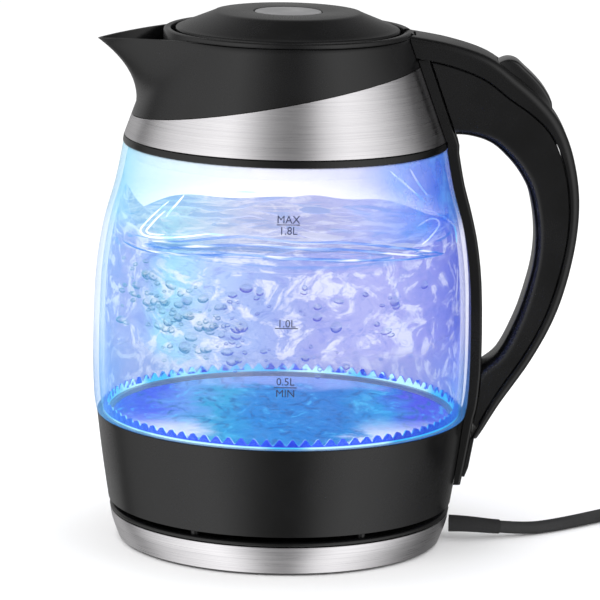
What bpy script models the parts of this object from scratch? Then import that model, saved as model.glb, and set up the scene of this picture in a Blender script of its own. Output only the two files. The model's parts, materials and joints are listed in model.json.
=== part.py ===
"""Cordless glass electric kettle on a round power base, built as separate pieces at real size.

The part stands on z = 0. The spout points to -X, the handle to +X. All turned pieces share one
vertical axis, the kettle axis, and everything is modelled from it.
"""

import math

import bmesh
import bpy
from mathutils import Vector

MM = 0.001
GAP = 0.3 * MM  # left between pieces that touch
SLIDE_GAP = 0.4 * MM  # left round pieces that move
OVERCUT = 2 * MM  # how far a cutter runs past the wall it opens

# Power base
FOOT_H = 0.9 * MM
FOOT_R = 6.0 * MM
FOOT_PITCH_R = 52.0 * MM
BASE_CLEARANCE = 1.2 * MM  # underside of the base above the table
BASE_FLOOR_T = 1.4 * MM
TRIM_H = 12.1 * MM
TRIM_FLARE = 3.8 * MM  # how much wider the trim is at its top than at its foot
TRIM_KINK_SHARE = 0.62  # share of the trim's height at which its wall steepens
TRIM_KINK_INSET = 0.9 * MM
TRIM_T = 1.0 * MM
BASE_RIM_H = 2.0 * MM
BASE_SKIRT_T = 2.0 * MM
BASE_RIM_INSET = 7.8 * MM  # rim radius is this much under the belly radius
NUB_SIZE = 4.0 * MM
NUB_H = 2.1 * MM
NUB_ANGLE = math.radians(60)
SCREW_R = 1.3 * MM
SCREW_HEAD_R = 2.6 * MM
SCREW_HEAD_H = 0.6 * MM
BOSS_R = 3.4 * MM
BOSS_PITCH_R = 36.0 * MM

# Connector between base and kettle
HUB_R = 13.5 * MM
HUB_RISE = 12.2 * MM
HUB_FLANGE_R = 20.0 * MM
HUB_FLANGE_T = 2.4 * MM
GROOVE_MID_R = 8.6 * MM
GROOVE_W = 2.4 * MM
GROOVE_DEPTH = 10.5 * MM
BLADE_T = 1.2 * MM
PIN_R = 2.0 * MM
WELL_R = 17.5 * MM
WELL_DEPTH = 12.0 * MM
TURN_RING_H = 2.9 * MM

# Kettle body, from the bottom up
SLOT_H = 2.4 * MM  # gap between base and kettle
BELLY_R = 80.8 * MM
HOUSING_H = 37.9 * MM
HOUSING_T = 2.2 * MM
HOUSING_FOOT_INSET = 7.2 * MM
HOUSING_MID_INSET = 4.3 * MM
HOUSING_TOP_INSET = 1.9 * MM
UNDER_PLATE_T = 2.0 * MM
GLASS_H = 115.1 * MM
GLASS_T = 2.5 * MM
# Glass outline from foot to neck: share of the glass height, inset from the belly radius
GLASS_CURVE = (
    (0.00, 1.7 * MM),
    (0.07, 0.55 * MM),
    (0.24, 0.0),
    (0.50, 0.8 * MM),
    (0.69, 3.7 * MM),
    (0.86, 8.9 * MM),
    (1.00, 12.0 * MM),
)
SEAL_H = 3.1 * MM
SEAL_W = 4.2 * MM
UPPER_SEAL_H = 5.0 * MM
UPPER_SEAL_W = 3.0 * MM
PLATE_T = 1.2 * MM
PLATE_LIP_H = 3.0 * MM
SPREADER_R = 46.0 * MM
SPREADER_T = 2.0 * MM
ELEMENT_R = 38.0 * MM
ELEMENT_TUBE_R = 3.6 * MM
ELEMENT_SWEEP = math.radians(310)
LIGHT_RING_H = 3.4 * MM
LIGHT_RING_T = 2.4 * MM
LED_BOARD_W = 7.0 * MM
LED_BOARD_T = 1.2 * MM
LED_BOARD_DROP = 12.6 * MM  # underside of the board below the top of the housing
COLLAR_H = 3.1 * MM
COLLAR_W = 7.0 * MM
COLLAR_PROUD = 0.6 * MM  # collar outside the foot of the band
BAND_INSET = 12.4 * MM  # band radius at its foot is this much under the belly radius
BAND_T = 0.8 * MM
CONE_SLOPE = 0.36  # radius lost per unit of height over band and head
BAND_AXIS_H = 20.8 * MM  # height of the band where the slanted top edge crosses the axis
BAND_TILT = 0.19  # rise of the slanted edge per unit towards the handle
HEAD_H = 45.3 * MM  # from the foot of the band to the top of the lid collar
HEAD_WALL = 3.0 * MM
LINER_FOOT_H = 2.0 * MM  # upright part of the head's wall inside the band

# Spout
SPOUT_START_H = 13.8 * MM  # above the foot of the band
SPOUT_TIP_H = 39.9 * MM
SPOUT_REACH = 16.8 * MM
SPOUT_POWER = 2.15
SPOUT_ROOT_RADIUS = 34.0 * MM
SPOUT_TIP_RADIUS = 2.6 * MM
SPOUT_WALL = 2.0 * MM
TROUGH_DEPTH = 16.0 * MM
TROUGH_EASE = 6.0 * MM
TROUGH_SHARES = (0.33, 0.66)  # of the way from its lip down to its floor
SHOULDER_H = 1.9 * MM  # rim below the top of the collar
LID_COLLAR_T = 3.1 * MM
OUTLET_W = 26.0 * MM
OUTLET_H = 5.6 * MM
OUTLET_TOP = 11.6 * MM  # below the top of the collar
FILTER_T = 1.2 * MM
FILTER_SLOTS = 5
FILTER_SLOT_W = 2.4 * MM

# Lid
LID_GAP = 1.9 * MM  # dark gap between lid edge and collar
LID_H = 8.7 * MM
LID_LIP_H = 1.4 * MM
LID_TOP_R = 31.4 * MM
LID_T = 2.0 * MM
DISC_R = 14.1 * MM
DISC_T = 1.0 * MM
PLUG_INSET = 2.6 * MM
PLUG_H = 12.6 * MM
PLUG_T = 1.8 * MM
LID_SEAL_H = 1.8 * MM
LID_SEAL_CLEARANCE = 0.6 * MM
HINGE_BEHIND = 2.1 * MM  # hinge axis outside the mouth radius
HINGE_DROP = 2.5 * MM  # hinge axis below the top of the collar
HINGE_PIN_R = 1.1 * MM
HINGE_PIN_HALF = 9.4 * MM
KNUCKLE_R = 2.2 * MM
KNUCKLE_HALF = 6.0 * MM

# Handle ribs from the head to the foot. Each rib joins a point of the outer back to a point of
# the finger side. Reach is measured from the belly radius, height as a share of kettle height.
HANDLE_RIBS = (
    # outer reach, outer share, inner reach, inner share, half width, cover depth (mm)
    (-29.5, 0.996, -21.0, 0.781, 14.0, 9.6),
    (-12.2, 0.981, -10.0, 0.790, 14.0, 9.6),
    (4.0, 0.9545, -1.8, 0.787, 14.0, 9.8),
    (16.6, 0.909, 5.7, 0.774, 13.8, 9.2),
    (26.7, 0.866, 11.7, 0.750, 13.5, 7.6),
    (34.6, 0.819, 17.7, 0.715, 13.2, 6.4),
    (40.2, 0.755, 22.4, 0.669, 13.0, 5.6),
    (43.5, 0.669, 25.2, 0.595, 12.8, 5.5),
    (43.2, 0.580, 24.9, 0.525, 12.6, 5.3),
    (39.5, 0.480, 21.7, 0.454, 12.4, 5.0),
    (33.7, 0.3935, 17.5, 0.392, 12.2, 4.6),
    (24.4, 0.306, 10.7, 0.325, 12.0, 4.3),
    (12.5, 0.218, 1.2, 0.280, 11.6, 4.0),
    (5.5, 0.160, -4.0, 0.190, 11.0, 3.0),
    (3.1, 0.142, -6.5, 0.145, 10.6, 2.4),
)
RIB_STEPS = 2
HOLLOW_STEPS = 3
SHELL_HOLLOW_END = 11  # rib where the inner shell's hollow ends
COVER_HOLLOW_END = 9
HANDLE_WALL = 2.2 * MM
HANDLE_CORNER = 5.0 * MM
COVER_CORNER = 3.6 * MM
SPINE_HALF = 12.0 * MM
SPINE_PROUD = 4.2 * MM
SPINE_FOOT_PROUD = 2.4 * MM
SPINE_FOOT_H = 8.6 * MM  # above the foot of the kettle
SPINE_TOP_DROP = 11.0 * MM  # below the top of the collar
STEAM_TUBE_R = 1.8 * MM

# Lid release button, set in the handle's back
BUTTON_RIB = 3.3  # rib, counted from the head, at the middle of the button
BUTTON_LENGTH = 30.0 * MM
BUTTON_HALF = 8.0 * MM
BUTTON_PROUD = 5.0 * MM
BUTTON_DEPTH = 4.0 * MM
ROD_T = 2.0 * MM
ROD_HALF = 4.0 * MM
ROD_LENGTH = 26.0 * MM
ROD_FOOT_SHARE = 0.6  # share of the button's half length at which the rod starts

# Power switch lever at the foot of the handle
SWITCH_H = 16.6 * MM
SWITCH_HALF = 8.0 * MM
SWITCH_T = 1.7 * MM
SWITCH_DROP = 0.8 * MM  # top of the lever below the foot of the handle's back
SWITCH_PIVOT_DROP = 3.2 * MM
SWITCH_BOSS_R = 1.4 * MM
SWITCH_PIN_R = 0.7 * MM
SWITCH_POCKET = 2.6 * MM

# Mains cord. Route points and coil are measured from the kettle axis.
CORD_D = 5.5 * MM
CORD_EXIT_Z = 6.4 * MM
CORD_REST_Z = 2.8 * MM
RELIEF_END = (95.0 * MM, 2.6 * MM, 4.6 * MM)
RELIEF_END_R = 3.1 * MM
RELIEF_ROOT_R = 3.7 * MM
RELIEF_NECK_R = 3.0 * MM
RELIEF_FLANGE_R = 3.4 * MM
CORD_ROUTE = (
    (0.0953, 0.0027, 0.00455),
    (0.1005, 0.0042, 0.00395),
    (0.1060, 0.0063, 0.00335),
    (0.1115, 0.0091, 0.0029),
    (0.1165, 0.0122, 0.0028),
    (0.1215, 0.0158, 0.0028),
    (0.1265, 0.0198, 0.0028),
    (0.1315, 0.0241, 0.0028),
    (0.1365, 0.0286, 0.0028),
    (0.1415, 0.0331, 0.0028),
    (0.1450, 0.0361, 0.0028),
    (0.1478, 0.0385, 0.0028),
)
CORD_TAIL = (
    (0.2241, 0.0316, 0.0073),
    (0.2260, 0.0293, 0.0069),
    (0.2279, 0.0270, 0.0067),
    (0.2297, 0.0249, 0.0066),
)
COIL_CENTRE = (185.5 * MM, 26.8 * MM)
COIL_MEAN_R = 30.0 * MM
PLUG_START = (0.2299, 0.02465)
PLUG_HEADING = math.radians(-50)
PLUG_RELIEF_L = 14.0 * MM
PLUG_BODY_L = 24.0 * MM
PLUG_BODY_W = 19.0 * MM
PLUG_BODY_H = 13.0 * MM
PLUG_CENTRE_Z = 6.55 * MM
BLADE_L = 16.0 * MM
BLADE_W = 6.3 * MM
BLADE_THICK = 1.5 * MM
BLADE_PITCH = 12.7 * MM

ROUND_STEPS = 40
SMALL_STEPS = 24
HEAD_STEPS = 48
HEAD_CROWDING = 0.7  # how strongly the head's steps crowd towards the spout

# Places worked out from the sizes above
TRIM_TOP_Z = BASE_CLEARANCE + TRIM_H
BASE_TOP_Z = TRIM_TOP_Z + BASE_RIM_H
KETTLE_FOOT_Z = BASE_TOP_Z + SLOT_H
HOUSING_TOP_Z = KETTLE_FOOT_Z + HOUSING_H
GLASS_FOOT_Z = HOUSING_TOP_Z + GAP
GLASS_TOP_Z = GLASS_FOOT_Z + GLASS_H
COLLAR_Z = GLASS_TOP_Z + GAP
BAND_Z = COLLAR_Z + COLLAR_H + GAP
HEAD_TOP_Z = BAND_Z + HEAD_H
BASE_RIM_R = BELLY_R - BASE_RIM_INSET
BAND_R = BELLY_R - BAND_INSET
COLLAR_RING_R = BAND_R + COLLAR_PROUD
COLLAR_OUTER_R = BAND_R - CONE_SLOPE * HEAD_H + 0.3 * MM
MOUTH_R = COLLAR_OUTER_R - LID_COLLAR_T
LID_R = MOUTH_R - LID_GAP
LID_LIP_Z = HEAD_TOP_Z - LID_LIP_H
PLUG_R = LID_R - PLUG_INSET
PLUG_TOP_Z = LID_LIP_Z - GAP
PLUG_FOOT_Z = PLUG_TOP_Z - PLUG_H
HINGE_X = MOUTH_R + HINGE_BEHIND
HINGE_Z = HEAD_TOP_Z - HINGE_DROP
HANDLE_FOOT_Z = KETTLE_FOOT_Z + HANDLE_RIBS[-1][1] * (HEAD_TOP_Z - KETTLE_FOOT_Z)
SWITCH_TOP_Z = HANDLE_FOOT_Z - SWITCH_DROP
SWITCH_FOOT_Z = SWITCH_TOP_Z - SWITCH_H
SWITCH_PIVOT_Z = SWITCH_TOP_Z - SWITCH_PIVOT_DROP
HANDLE_OUT = max(rib[0] for rib in HANDLE_RIBS) * MM
AXIS_X = -HANDLE_OUT / 2  # centres the kettle's box, glass to handle, on the origin

BLACK = ((0.022, 0.022, 0.024), 0.42, 0.0)
SOFT_BLACK = ((0.03, 0.03, 0.031), 0.7, 0.0)
STEEL = ((0.60, 0.60, 0.61), 0.28, 1.0)
BRASS = ((0.72, 0.52, 0.25), 0.3, 1.0)
GLASS = ((0.80, 0.90, 0.96), 0.03, 0.0)
CLEAR_BLUE = ((0.15, 0.35, 0.95), 0.15, 0.0)
SILICONE = ((0.55, 0.56, 0.58), 0.6, 0.0)
CIRCUIT = ((0.03, 0.16, 0.08), 0.5, 0.0)
CREAM = ((0.70, 0.68, 0.60), 0.5, 0.0)
SILVER = ((0.45, 0.45, 0.46), 0.45, 0.6)


def clear_scene():
    for obj in list(bpy.data.objects):
        bpy.data.objects.remove(obj, do_unlink=True)


def finish_material(name, finish):
    """The shared material of a finish, made the first time it is asked for."""
    material = bpy.data.materials.get(name)
    if material:
        return material
    colour, roughness, metallic = finish
    material = bpy.data.materials.new(name)
    material.use_nodes = True
    shader = material.node_tree.nodes["Principled BSDF"]
    shader.inputs["Base Color"].default_value = (*colour, 1)
    shader.inputs["Roughness"].default_value = roughness
    shader.inputs["Metallic"].default_value = metallic
    material.diffuse_color = (*colour, 1)
    return material


def frame_at(name, x, z):
    """An empty that carries one moving group, at (x, 0, z) from the kettle axis."""
    empty = bpy.data.objects.new(name, None)
    empty.location = (AXIS_X + x, 0, z)
    bpy.context.collection.objects.link(empty)
    return empty


def add_object(name, mesh, frame, finish):
    """Turn a bmesh built round the kettle axis into an object that hangs on its frame's empty."""
    bmesh.ops.remove_doubles(mesh, verts=mesh.verts, dist=1e-6)
    loose = [edge for edge in mesh.edges if not edge.link_faces]
    bmesh.ops.delete(mesh, geom=loose, context="EDGES")
    bmesh.ops.recalc_face_normals(mesh, faces=mesh.faces)
    shift = Vector((AXIS_X, 0, 0)) - frame.location
    bmesh.ops.translate(mesh, verts=mesh.verts, vec=shift)
    data = bpy.data.meshes.new(name)
    mesh.to_mesh(data)
    mesh.free()
    data.shade_smooth()
    data.set_sharp_from_angle(angle=math.radians(35))
    obj = bpy.data.objects.new(name, data)
    obj.parent = frame
    bpy.context.collection.objects.link(obj)
    if finish:
        data.materials.append(finish_material(name + "_finish", finish))
    return obj


def as_cutter(obj):
    obj.hide_render = True
    obj.display_type = "WIRE"
    return obj


def boolean(piece, other, operation="DIFFERENCE"):
    """Cut or join with a helper, which is kept as a hidden guide."""
    as_cutter(other)
    modifier = piece.modifiers.new(other.name, "BOOLEAN")
    modifier.operation = operation
    modifier.solver = "EXACT"
    modifier.object = other
    return piece


def turned(name, frame, outline, finish, steps=ROUND_STEPS, sweep=2 * math.pi, start=0.0):
    """Turn a (radius, height) outline about the kettle axis; points on the axis become poles."""
    mesh = bmesh.new()
    whole = abs(sweep - 2 * math.pi) < 1e-9
    heading = Vector((math.cos(start), math.sin(start), 0))
    points = [mesh.verts.new(heading * r + Vector((0, 0, z))) for r, z in outline]
    edges = []
    for first, second in zip(points, points[1:] + points[:1]):
        if first.co.xy.length > 1e-9 or second.co.xy.length > 1e-9:
            edges.append(mesh.edges.new((first, second)))
    if not whole:
        mesh.faces.new(points)
    geometry = list(mesh.verts) + list(mesh.edges) + list(mesh.faces)
    bmesh.ops.spin(
        mesh,
        geom=geometry,
        cent=(0, 0, 0),
        axis=(0, 0, 1),
        angle=sweep,
        steps=steps,
        use_merge=whole,
    )
    return add_object(name, mesh, frame, finish)


def ring(name, frame, inner, outer, low, high, finish, steps=ROUND_STEPS):
    outline = ((inner, low), (outer, low), (outer, high), (inner, high))
    return turned(name, frame, outline, finish, steps)


def disc(name, frame, radius, low, high, finish, steps=SMALL_STEPS, centre=(0, 0)):
    mesh = bmesh.new()
    bmesh.ops.create_cone(
        mesh, cap_ends=True, segments=steps, radius1=radius, radius2=radius, depth=high - low
    )
    bmesh.ops.translate(mesh, verts=mesh.verts, vec=(centre[0], centre[1], (low + high) / 2))
    return add_object(name, mesh, frame, finish)


def rod_along_y(name, frame, radius, half, x, z, finish, steps=16):
    mesh = bmesh.new()
    bmesh.ops.create_cone(
        mesh, cap_ends=True, segments=steps, radius1=radius, radius2=radius, depth=2 * half
    )
    for vert in mesh.verts:
        vert.co = Vector((vert.co.x + x, vert.co.z, vert.co.y + z))
    return add_object(name, mesh, frame, finish)


def round_lofted(name, frame, outline_at, angles, finish):
    """Join outlines of (radius, height) that change with the angle round the kettle axis."""
    mesh = bmesh.new()
    loops = []
    for angle in angles:
        heading = Vector((math.cos(angle), math.sin(angle), 0))
        loops.append([mesh.verts.new(heading * r + Vector((0, 0, z))) for r, z in outline_at(angle)])
    join_loops(mesh, loops + loops[:1])
    return add_object(name, mesh, frame, finish)


def join_loops(mesh, loops):
    for near, far in zip(loops, loops[1:]):
        for i in range(len(near)):
            j = (i + 1) % len(near)
            mesh.faces.new((near[i], near[j], far[j], far[i]))


def lofted(name, frame, sections, finish):
    """Join closed sections one after another and cap both ends."""
    mesh = bmesh.new()
    loops = [[mesh.verts.new(point) for point in section] for section in sections]
    join_loops(mesh, loops)
    mesh.faces.new(loops[0])
    mesh.faces.new(loops[-1])
    return add_object(name, mesh, frame, finish)


def prism(name, frame, outline, half, finish):
    """Extrude an (x, z) outline to both sides of the plane y = 0."""
    sections = [[Vector((x, y, z)) for x, z in outline] for y in (-half, half)]
    return lofted(name, frame, sections, finish)


def block(name, frame, low, high, finish):
    outline = ((low[0], low[2]), (high[0], low[2]), (high[0], high[2]), (low[0], high[2]))
    sections = [[Vector((x, y, z)) for x, z in outline] for y in (low[1], high[1])]
    return lofted(name, frame, sections, finish)


def smooth_rows(rows, steps):
    """Rows of numbers read off a Catmull-Rom curve through the given rows."""
    result = []
    for i in range(len(rows) - 1):
        before = rows[max(i - 1, 0)]
        after = rows[min(i + 2, len(rows) - 1)]
        for k in range(steps):
            t = k / steps
            row = []
            for a, b, c, d in zip(before, rows[i], rows[i + 1], after):
                bend = 2 * a - 5 * b + 4 * c - d
                twist = 3 * b - a - 3 * c + d
                row.append(b + 0.5 * t * ((c - a) + t * (bend + t * twist)))
            result.append(tuple(row))
    result.append(tuple(rows[-1]))
    return result


def tube(name, frame, points, radius, finish, resolution=2):
    """A round tube along points given from the kettle axis."""
    curve = bpy.data.curves.new(name, "CURVE")
    curve.dimensions = "3D"
    curve.bevel_depth = radius
    curve.bevel_resolution = resolution
    curve.use_fill_caps = True
    spline = curve.splines.new("POLY")
    spline.points.add(len(points) - 1)
    shift = Vector((AXIS_X, 0, 0)) - frame.location
    for slot, point in zip(spline.points, points):
        slot.co = (*(Vector(point) + shift), 1)
    curve.materials.append(finish_material(name + "_finish", finish))
    obj = bpy.data.objects.new(name, curve)
    obj.parent = frame
    bpy.context.collection.objects.link(obj)
    return obj


def cone_radius(z):
    """Outside of the steel band and of the head above it."""
    return BAND_R - CONE_SLOPE * (z - BAND_Z)


def housing_outline():
    """Outside of the lower housing, foot to top, on one shallow curve."""
    rows = (
        (BELLY_R - HOUSING_FOOT_INSET, KETTLE_FOOT_Z),
        (BELLY_R - HOUSING_MID_INSET, KETTLE_FOOT_Z + HOUSING_H / 2),
        (BELLY_R - HOUSING_TOP_INSET, HOUSING_TOP_Z),
    )
    return smooth_rows(rows, 2)


def glass_outline(inset=0.0, steps=2):
    rows = [(BELLY_R - drop - inset, GLASS_FOOT_Z + share * GLASS_H) for share, drop in GLASS_CURVE]
    return smooth_rows(rows, steps)


def body_outline():
    """Whole outside of the kettle body, foot to head, without spout and handle."""
    collar = [(COLLAR_RING_R, COLLAR_Z), (COLLAR_RING_R, COLLAR_Z + COLLAR_H)]
    head = [(cone_radius(z), z) for z in (BAND_Z, HEAD_TOP_Z - SHOULDER_H)]
    return housing_outline() + glass_outline() + collar + head


def body_radius(z):
    """Radius of the body's outside at a height."""
    outline = body_outline()
    for (r1, z1), (r2, z2) in zip(outline, outline[1:]):
        if z1 <= z <= z2 and z2 > z1:
            return r1 + (r2 - r1) * (z - z1) / (z2 - z1)
    return outline[0][0] if z < outline[0][1] else outline[-1][0]


# ---------------------------------------------------------------- power base


def make_feet(frame):
    for i, label in enumerate(("front_right", "back_right", "back_left", "front_left")):
        angle = math.radians(-45 + 90 * i)
        centre = (FOOT_PITCH_R * math.cos(angle), FOOT_PITCH_R * math.sin(angle))
        disc("base_foot_" + label, frame, FOOT_R, 0, FOOT_H, SOFT_BLACK, 20, centre)


def screw_places():
    return [
        (BOSS_PITCH_R * math.cos(a), BOSS_PITCH_R * math.sin(a))
        for a in (math.radians(90), math.radians(210), math.radians(330))
    ]


def trim_outline(inset):
    foot = BASE_RIM_R - TRIM_FLARE - inset
    top = BASE_RIM_R - inset - 0.2 * MM
    kink = (top - TRIM_KINK_INSET, BASE_CLEARANCE + TRIM_KINK_SHARE * TRIM_H)
    return ((foot, BASE_CLEARANCE), kink, (top, TRIM_TOP_Z - GAP))


def make_base(frame):
    make_feet(frame)
    make_bottom_cover(frame)
    outer = trim_outline(0)
    inner = trim_outline(TRIM_T)
    trim = turned("base_trim_ring", frame, outer + inner[::-1], STEEL)
    boolean(trim, cord_hole(frame, "trim_cord_hole"))
    make_top_cover(frame)
    make_hub(frame)


def cord_hole(frame, name):
    """A cutter for the opening through which the strain relief leaves the base."""
    reach = BASE_RIM_R + OVERCUT
    start = BASE_RIM_R - TRIM_FLARE - 3 * BASE_SKIRT_T
    mesh = bmesh.new()
    bmesh.ops.create_cone(
        mesh,
        cap_ends=True,
        segments=16,
        radius1=RELIEF_NECK_R + GAP,
        radius2=RELIEF_NECK_R + GAP,
        depth=reach - start,
    )
    for vert in mesh.verts:
        vert.co = Vector(((start + reach) / 2 + vert.co.z, vert.co.x, CORD_EXIT_Z + vert.co.y))
    return add_object(name, mesh, frame, None)


def make_bottom_cover(frame):
    radius = BASE_RIM_R - TRIM_FLARE - TRIM_T - GAP
    cover = disc(
        "base_bottom_cover", frame, radius, BASE_CLEARANCE, BASE_CLEARANCE + BASE_FLOOR_T, BLACK, ROUND_STEPS
    )
    for i, centre in enumerate(screw_places()):
        hole = disc(
            f"screw_hole_{i + 1}",
            frame,
            SCREW_R + GAP,
            0,
            BASE_CLEARANCE + BASE_FLOOR_T + OVERCUT,
            None,
            16,
            centre,
        )
        boolean(cover, hole)
        make_screw(frame, i, centre)


def make_screw(frame, i, centre):
    """A pan-head screw whose head sits just under the bottom cover."""
    head_top = BASE_CLEARANCE - GAP
    outline = (
        (0, head_top - SCREW_HEAD_H),
        (SCREW_HEAD_R, head_top - SCREW_HEAD_H),
        (SCREW_HEAD_R, head_top),
        (SCREW_R, head_top),
        (SCREW_R, TRIM_TOP_Z - 3 * MM),
        (0, TRIM_TOP_Z - 3 * MM),
    )
    screw = turned(f"base_screw_{i + 1}", frame, outline, STEEL, 12)
    for vert in screw.data.vertices:
        vert.co.x += centre[0]
        vert.co.y += centre[1]


def make_top_cover(frame):
    """Top plate with rounded rim, skirt inside the trim, screw bosses and resting nubs."""
    skirt_r = BASE_RIM_R - TRIM_FLARE - TRIM_T - GAP
    low = BASE_CLEARANCE + BASE_FLOOR_T + GAP
    outline = (
        (HUB_R + GAP, TRIM_TOP_Z),
        (skirt_r - BASE_SKIRT_T, TRIM_TOP_Z),
        (skirt_r - BASE_SKIRT_T, low),
        (skirt_r, low),
        (skirt_r, TRIM_TOP_Z),
        (BASE_RIM_R - 0.4 * MM, TRIM_TOP_Z),
        (BASE_RIM_R, TRIM_TOP_Z + 0.6 * MM),
        (BASE_RIM_R - 0.1 * MM, BASE_TOP_Z - 0.6 * MM),
        (BASE_RIM_R - 0.8 * MM, BASE_TOP_Z),
        (HUB_R + GAP, BASE_TOP_Z),
    )
    cover = turned("base_top_cover", frame, outline, BLACK)
    boolean(cover, cord_hole(frame, "cover_cord_hole"))
    for i, centre in enumerate(screw_places()):
        boss = disc(f"boss_{i + 1}", frame, BOSS_R, low, TRIM_TOP_Z + 0.5 * MM, None, 16, centre)
        boolean(cover, boss, "UNION")
        bore = disc(f"boss_bore_{i + 1}", frame, SCREW_R + GAP, 0, TRIM_TOP_Z - OVERCUT, None, 16, centre)
        boolean(cover, bore)
    nub_r = BASE_RIM_R - NUB_SIZE
    for i, angle in enumerate((-NUB_ANGLE, NUB_ANGLE, math.pi - NUB_ANGLE, math.pi + NUB_ANGLE)):
        centre = (nub_r * math.cos(angle), nub_r * math.sin(angle))
        nub = disc(f"nub_{i + 1}", frame, NUB_SIZE / 2, BASE_TOP_Z - MM, BASE_TOP_Z + NUB_H, None, 8, centre)
        boolean(cover, nub, "UNION")


def make_hub(frame):
    """Round socket in the middle of the base with a ring groove and a centre hole."""
    top = BASE_TOP_Z + HUB_RISE
    flange_top = TRIM_TOP_Z - GAP
    groove_out = GROOVE_MID_R + GROOVE_W / 2
    groove_in = GROOVE_MID_R - GROOVE_W / 2
    hole_r = PIN_R + 0.6 * MM
    floor = top - GROOVE_DEPTH
    outline = (
        (0, flange_top - HUB_FLANGE_T),
        (HUB_FLANGE_R, flange_top - HUB_FLANGE_T),
        (HUB_FLANGE_R, flange_top),
        (HUB_R, flange_top),
        (HUB_R, top - 0.8 * MM),
        (HUB_R - 0.8 * MM, top),
        (groove_out, top),
        (groove_out, floor),
        (groove_in, floor),
        (groove_in, top),
        (hole_r, top),
        (hole_r, floor - MM),
        (0, floor - MM),
    )
    turned("base_hub", frame, outline, BLACK, SMALL_STEPS)
    ring(
        "base_ring_contact",
        frame,
        groove_in + GAP,
        groove_out - GAP,
        floor + GAP,
        floor + 2 * MM,
        BRASS,
        SMALL_STEPS,
    )
    disc("base_pin_contact", frame, PIN_R, floor - MM + GAP, floor + MM, BRASS, 16)


def make_turn_ring(frame):
    """Loose ring round the hub on which the kettle turns."""
    low = BASE_TOP_Z + GAP
    inner, outer = HUB_R + SLIDE_GAP, WELL_R - SLIDE_GAP
    ring("turn_ring", frame, inner, outer, low, low + TURN_RING_H, CREAM, SMALL_STEPS)


# ---------------------------------------------------------------- kettle body


def make_underside(frame):
    """Plate that closes the housing from below, with the connector well in its middle."""
    plate_r = BELLY_R - HOUSING_FOOT_INSET - HOUSING_T - GAP
    well_top = KETTLE_FOOT_Z + WELL_DEPTH
    outline = (
        (WELL_R, KETTLE_FOOT_Z),
        (plate_r, KETTLE_FOOT_Z),
        (plate_r, KETTLE_FOOT_Z + UNDER_PLATE_T),
        (WELL_R + 1.6 * MM, KETTLE_FOOT_Z + UNDER_PLATE_T),
        (WELL_R + 1.6 * MM, well_top),
        (WELL_R, well_top),
    )
    turned("kettle_underside", frame, outline, BLACK, ROUND_STEPS)


def make_connector(frame):
    """Kettle half of the round connector: closing disc, ring blade and centre pin."""
    low = KETTLE_FOOT_Z + WELL_DEPTH + GAP
    floor = BASE_TOP_Z + HUB_RISE - GROOVE_DEPTH
    blade_foot = floor + 3 * MM
    blade_in = GROOVE_MID_R - BLADE_T / 2
    blade_out = GROOVE_MID_R + BLADE_T / 2
    outline = (
        (0, floor + 1.6 * MM),
        (PIN_R, floor + 1.6 * MM),
        (PIN_R, low),
        (blade_in, low),
        (blade_in, blade_foot),
        (blade_out, blade_foot),
        (blade_out, low),
        (WELL_R + 1.4 * MM, low),
        (WELL_R + 1.4 * MM, low + 2.4 * MM),
        (0, low + 2.4 * MM),
    )
    turned("kettle_connector", frame, outline, BRASS, SMALL_STEPS)
    control_z = low + 2.4 * MM + GAP
    control_half = 13.0 * MM
    block(
        "thermostat_control",
        frame,
        (-control_half, -control_half, control_z),
        (control_half, control_half, element_z() - ELEMENT_TUBE_R - 0.4 * MM),
        CREAM,
    )


def plate_z():
    """Underside of the heating plate."""
    return HOUSING_TOP_Z - SEAL_H - PLATE_T - GAP


def element_z():
    return plate_z() - GAP - SPREADER_T - GAP - ELEMENT_TUBE_R


def make_heater(frame):
    """Heating plate with an upturned lip, heat spreader and ring-shaped element under it."""
    low = plate_z()
    rim = jug_foot_inner_r() - SEAL_W - GAP
    outline = (
        (0, low),
        (rim + 3 * MM, low),
        (rim + 3 * MM, low + PLATE_T),
        (rim, low + PLATE_T),
        (rim, low + PLATE_LIP_H),
        (rim - PLATE_T, low + PLATE_LIP_H),
        (rim - PLATE_T, low + PLATE_T),
        (0, low + PLATE_T),
    )
    turned("heating_plate", frame, outline, STEEL, ROUND_STEPS)
    disc("heat_spreader", frame, SPREADER_R, low - GAP - SPREADER_T, low - GAP, SILVER, 32)
    centre_z = element_z()
    section = [
        (
            ELEMENT_R + ELEMENT_TUBE_R * math.cos(math.radians(45 * i + 22.5)),
            centre_z + ELEMENT_TUBE_R * math.sin(math.radians(45 * i + 22.5)),
        )
        for i in range(8)
    ]
    turned("heating_element", frame, section, SILVER, SMALL_STEPS, ELEMENT_SWEEP, math.radians(25))


def jug_foot_inner_r():
    return BELLY_R - GLASS_CURVE[0][1] - GLASS_T


def make_housing(frame):
    """Lower housing: curved wall with a foot ledge for the underside and a seat for the seal."""
    outer = housing_outline()
    seat_z = HOUSING_TOP_Z - SEAL_H - GAP
    seat_r = jug_foot_inner_r() + 0.4 * MM
    wall = [(r - HOUSING_T, z) for r, z in outer if z < seat_z]
    outline = outer + [(seat_r, HOUSING_TOP_Z), (seat_r, seat_z - GAP), (wall[-1][0], seat_z - 3 * MM)]
    outline += wall[::-1]
    turned("lower_housing", frame, outline, BLACK)


def make_light(frame):
    """Circuit board ring with the lamps and the toothed clear ring at the foot of the glass."""
    board_out = jug_foot_inner_r() - SEAL_W - 2 * MM
    board_z = HOUSING_TOP_Z - LED_BOARD_DROP
    ring(
        "led_board",
        frame,
        board_out - LED_BOARD_W,
        board_out,
        board_z,
        board_z + LED_BOARD_T,
        CIRCUIT,
    )
    outer = jug_foot_inner_r() - SLIDE_GAP
    low = GLASS_FOOT_Z
    ring(
        "light_guide_ring",
        frame,
        outer - LIGHT_RING_T,
        outer,
        low,
        low + LIGHT_RING_H,
        CLEAR_BLUE,
    )


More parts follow.
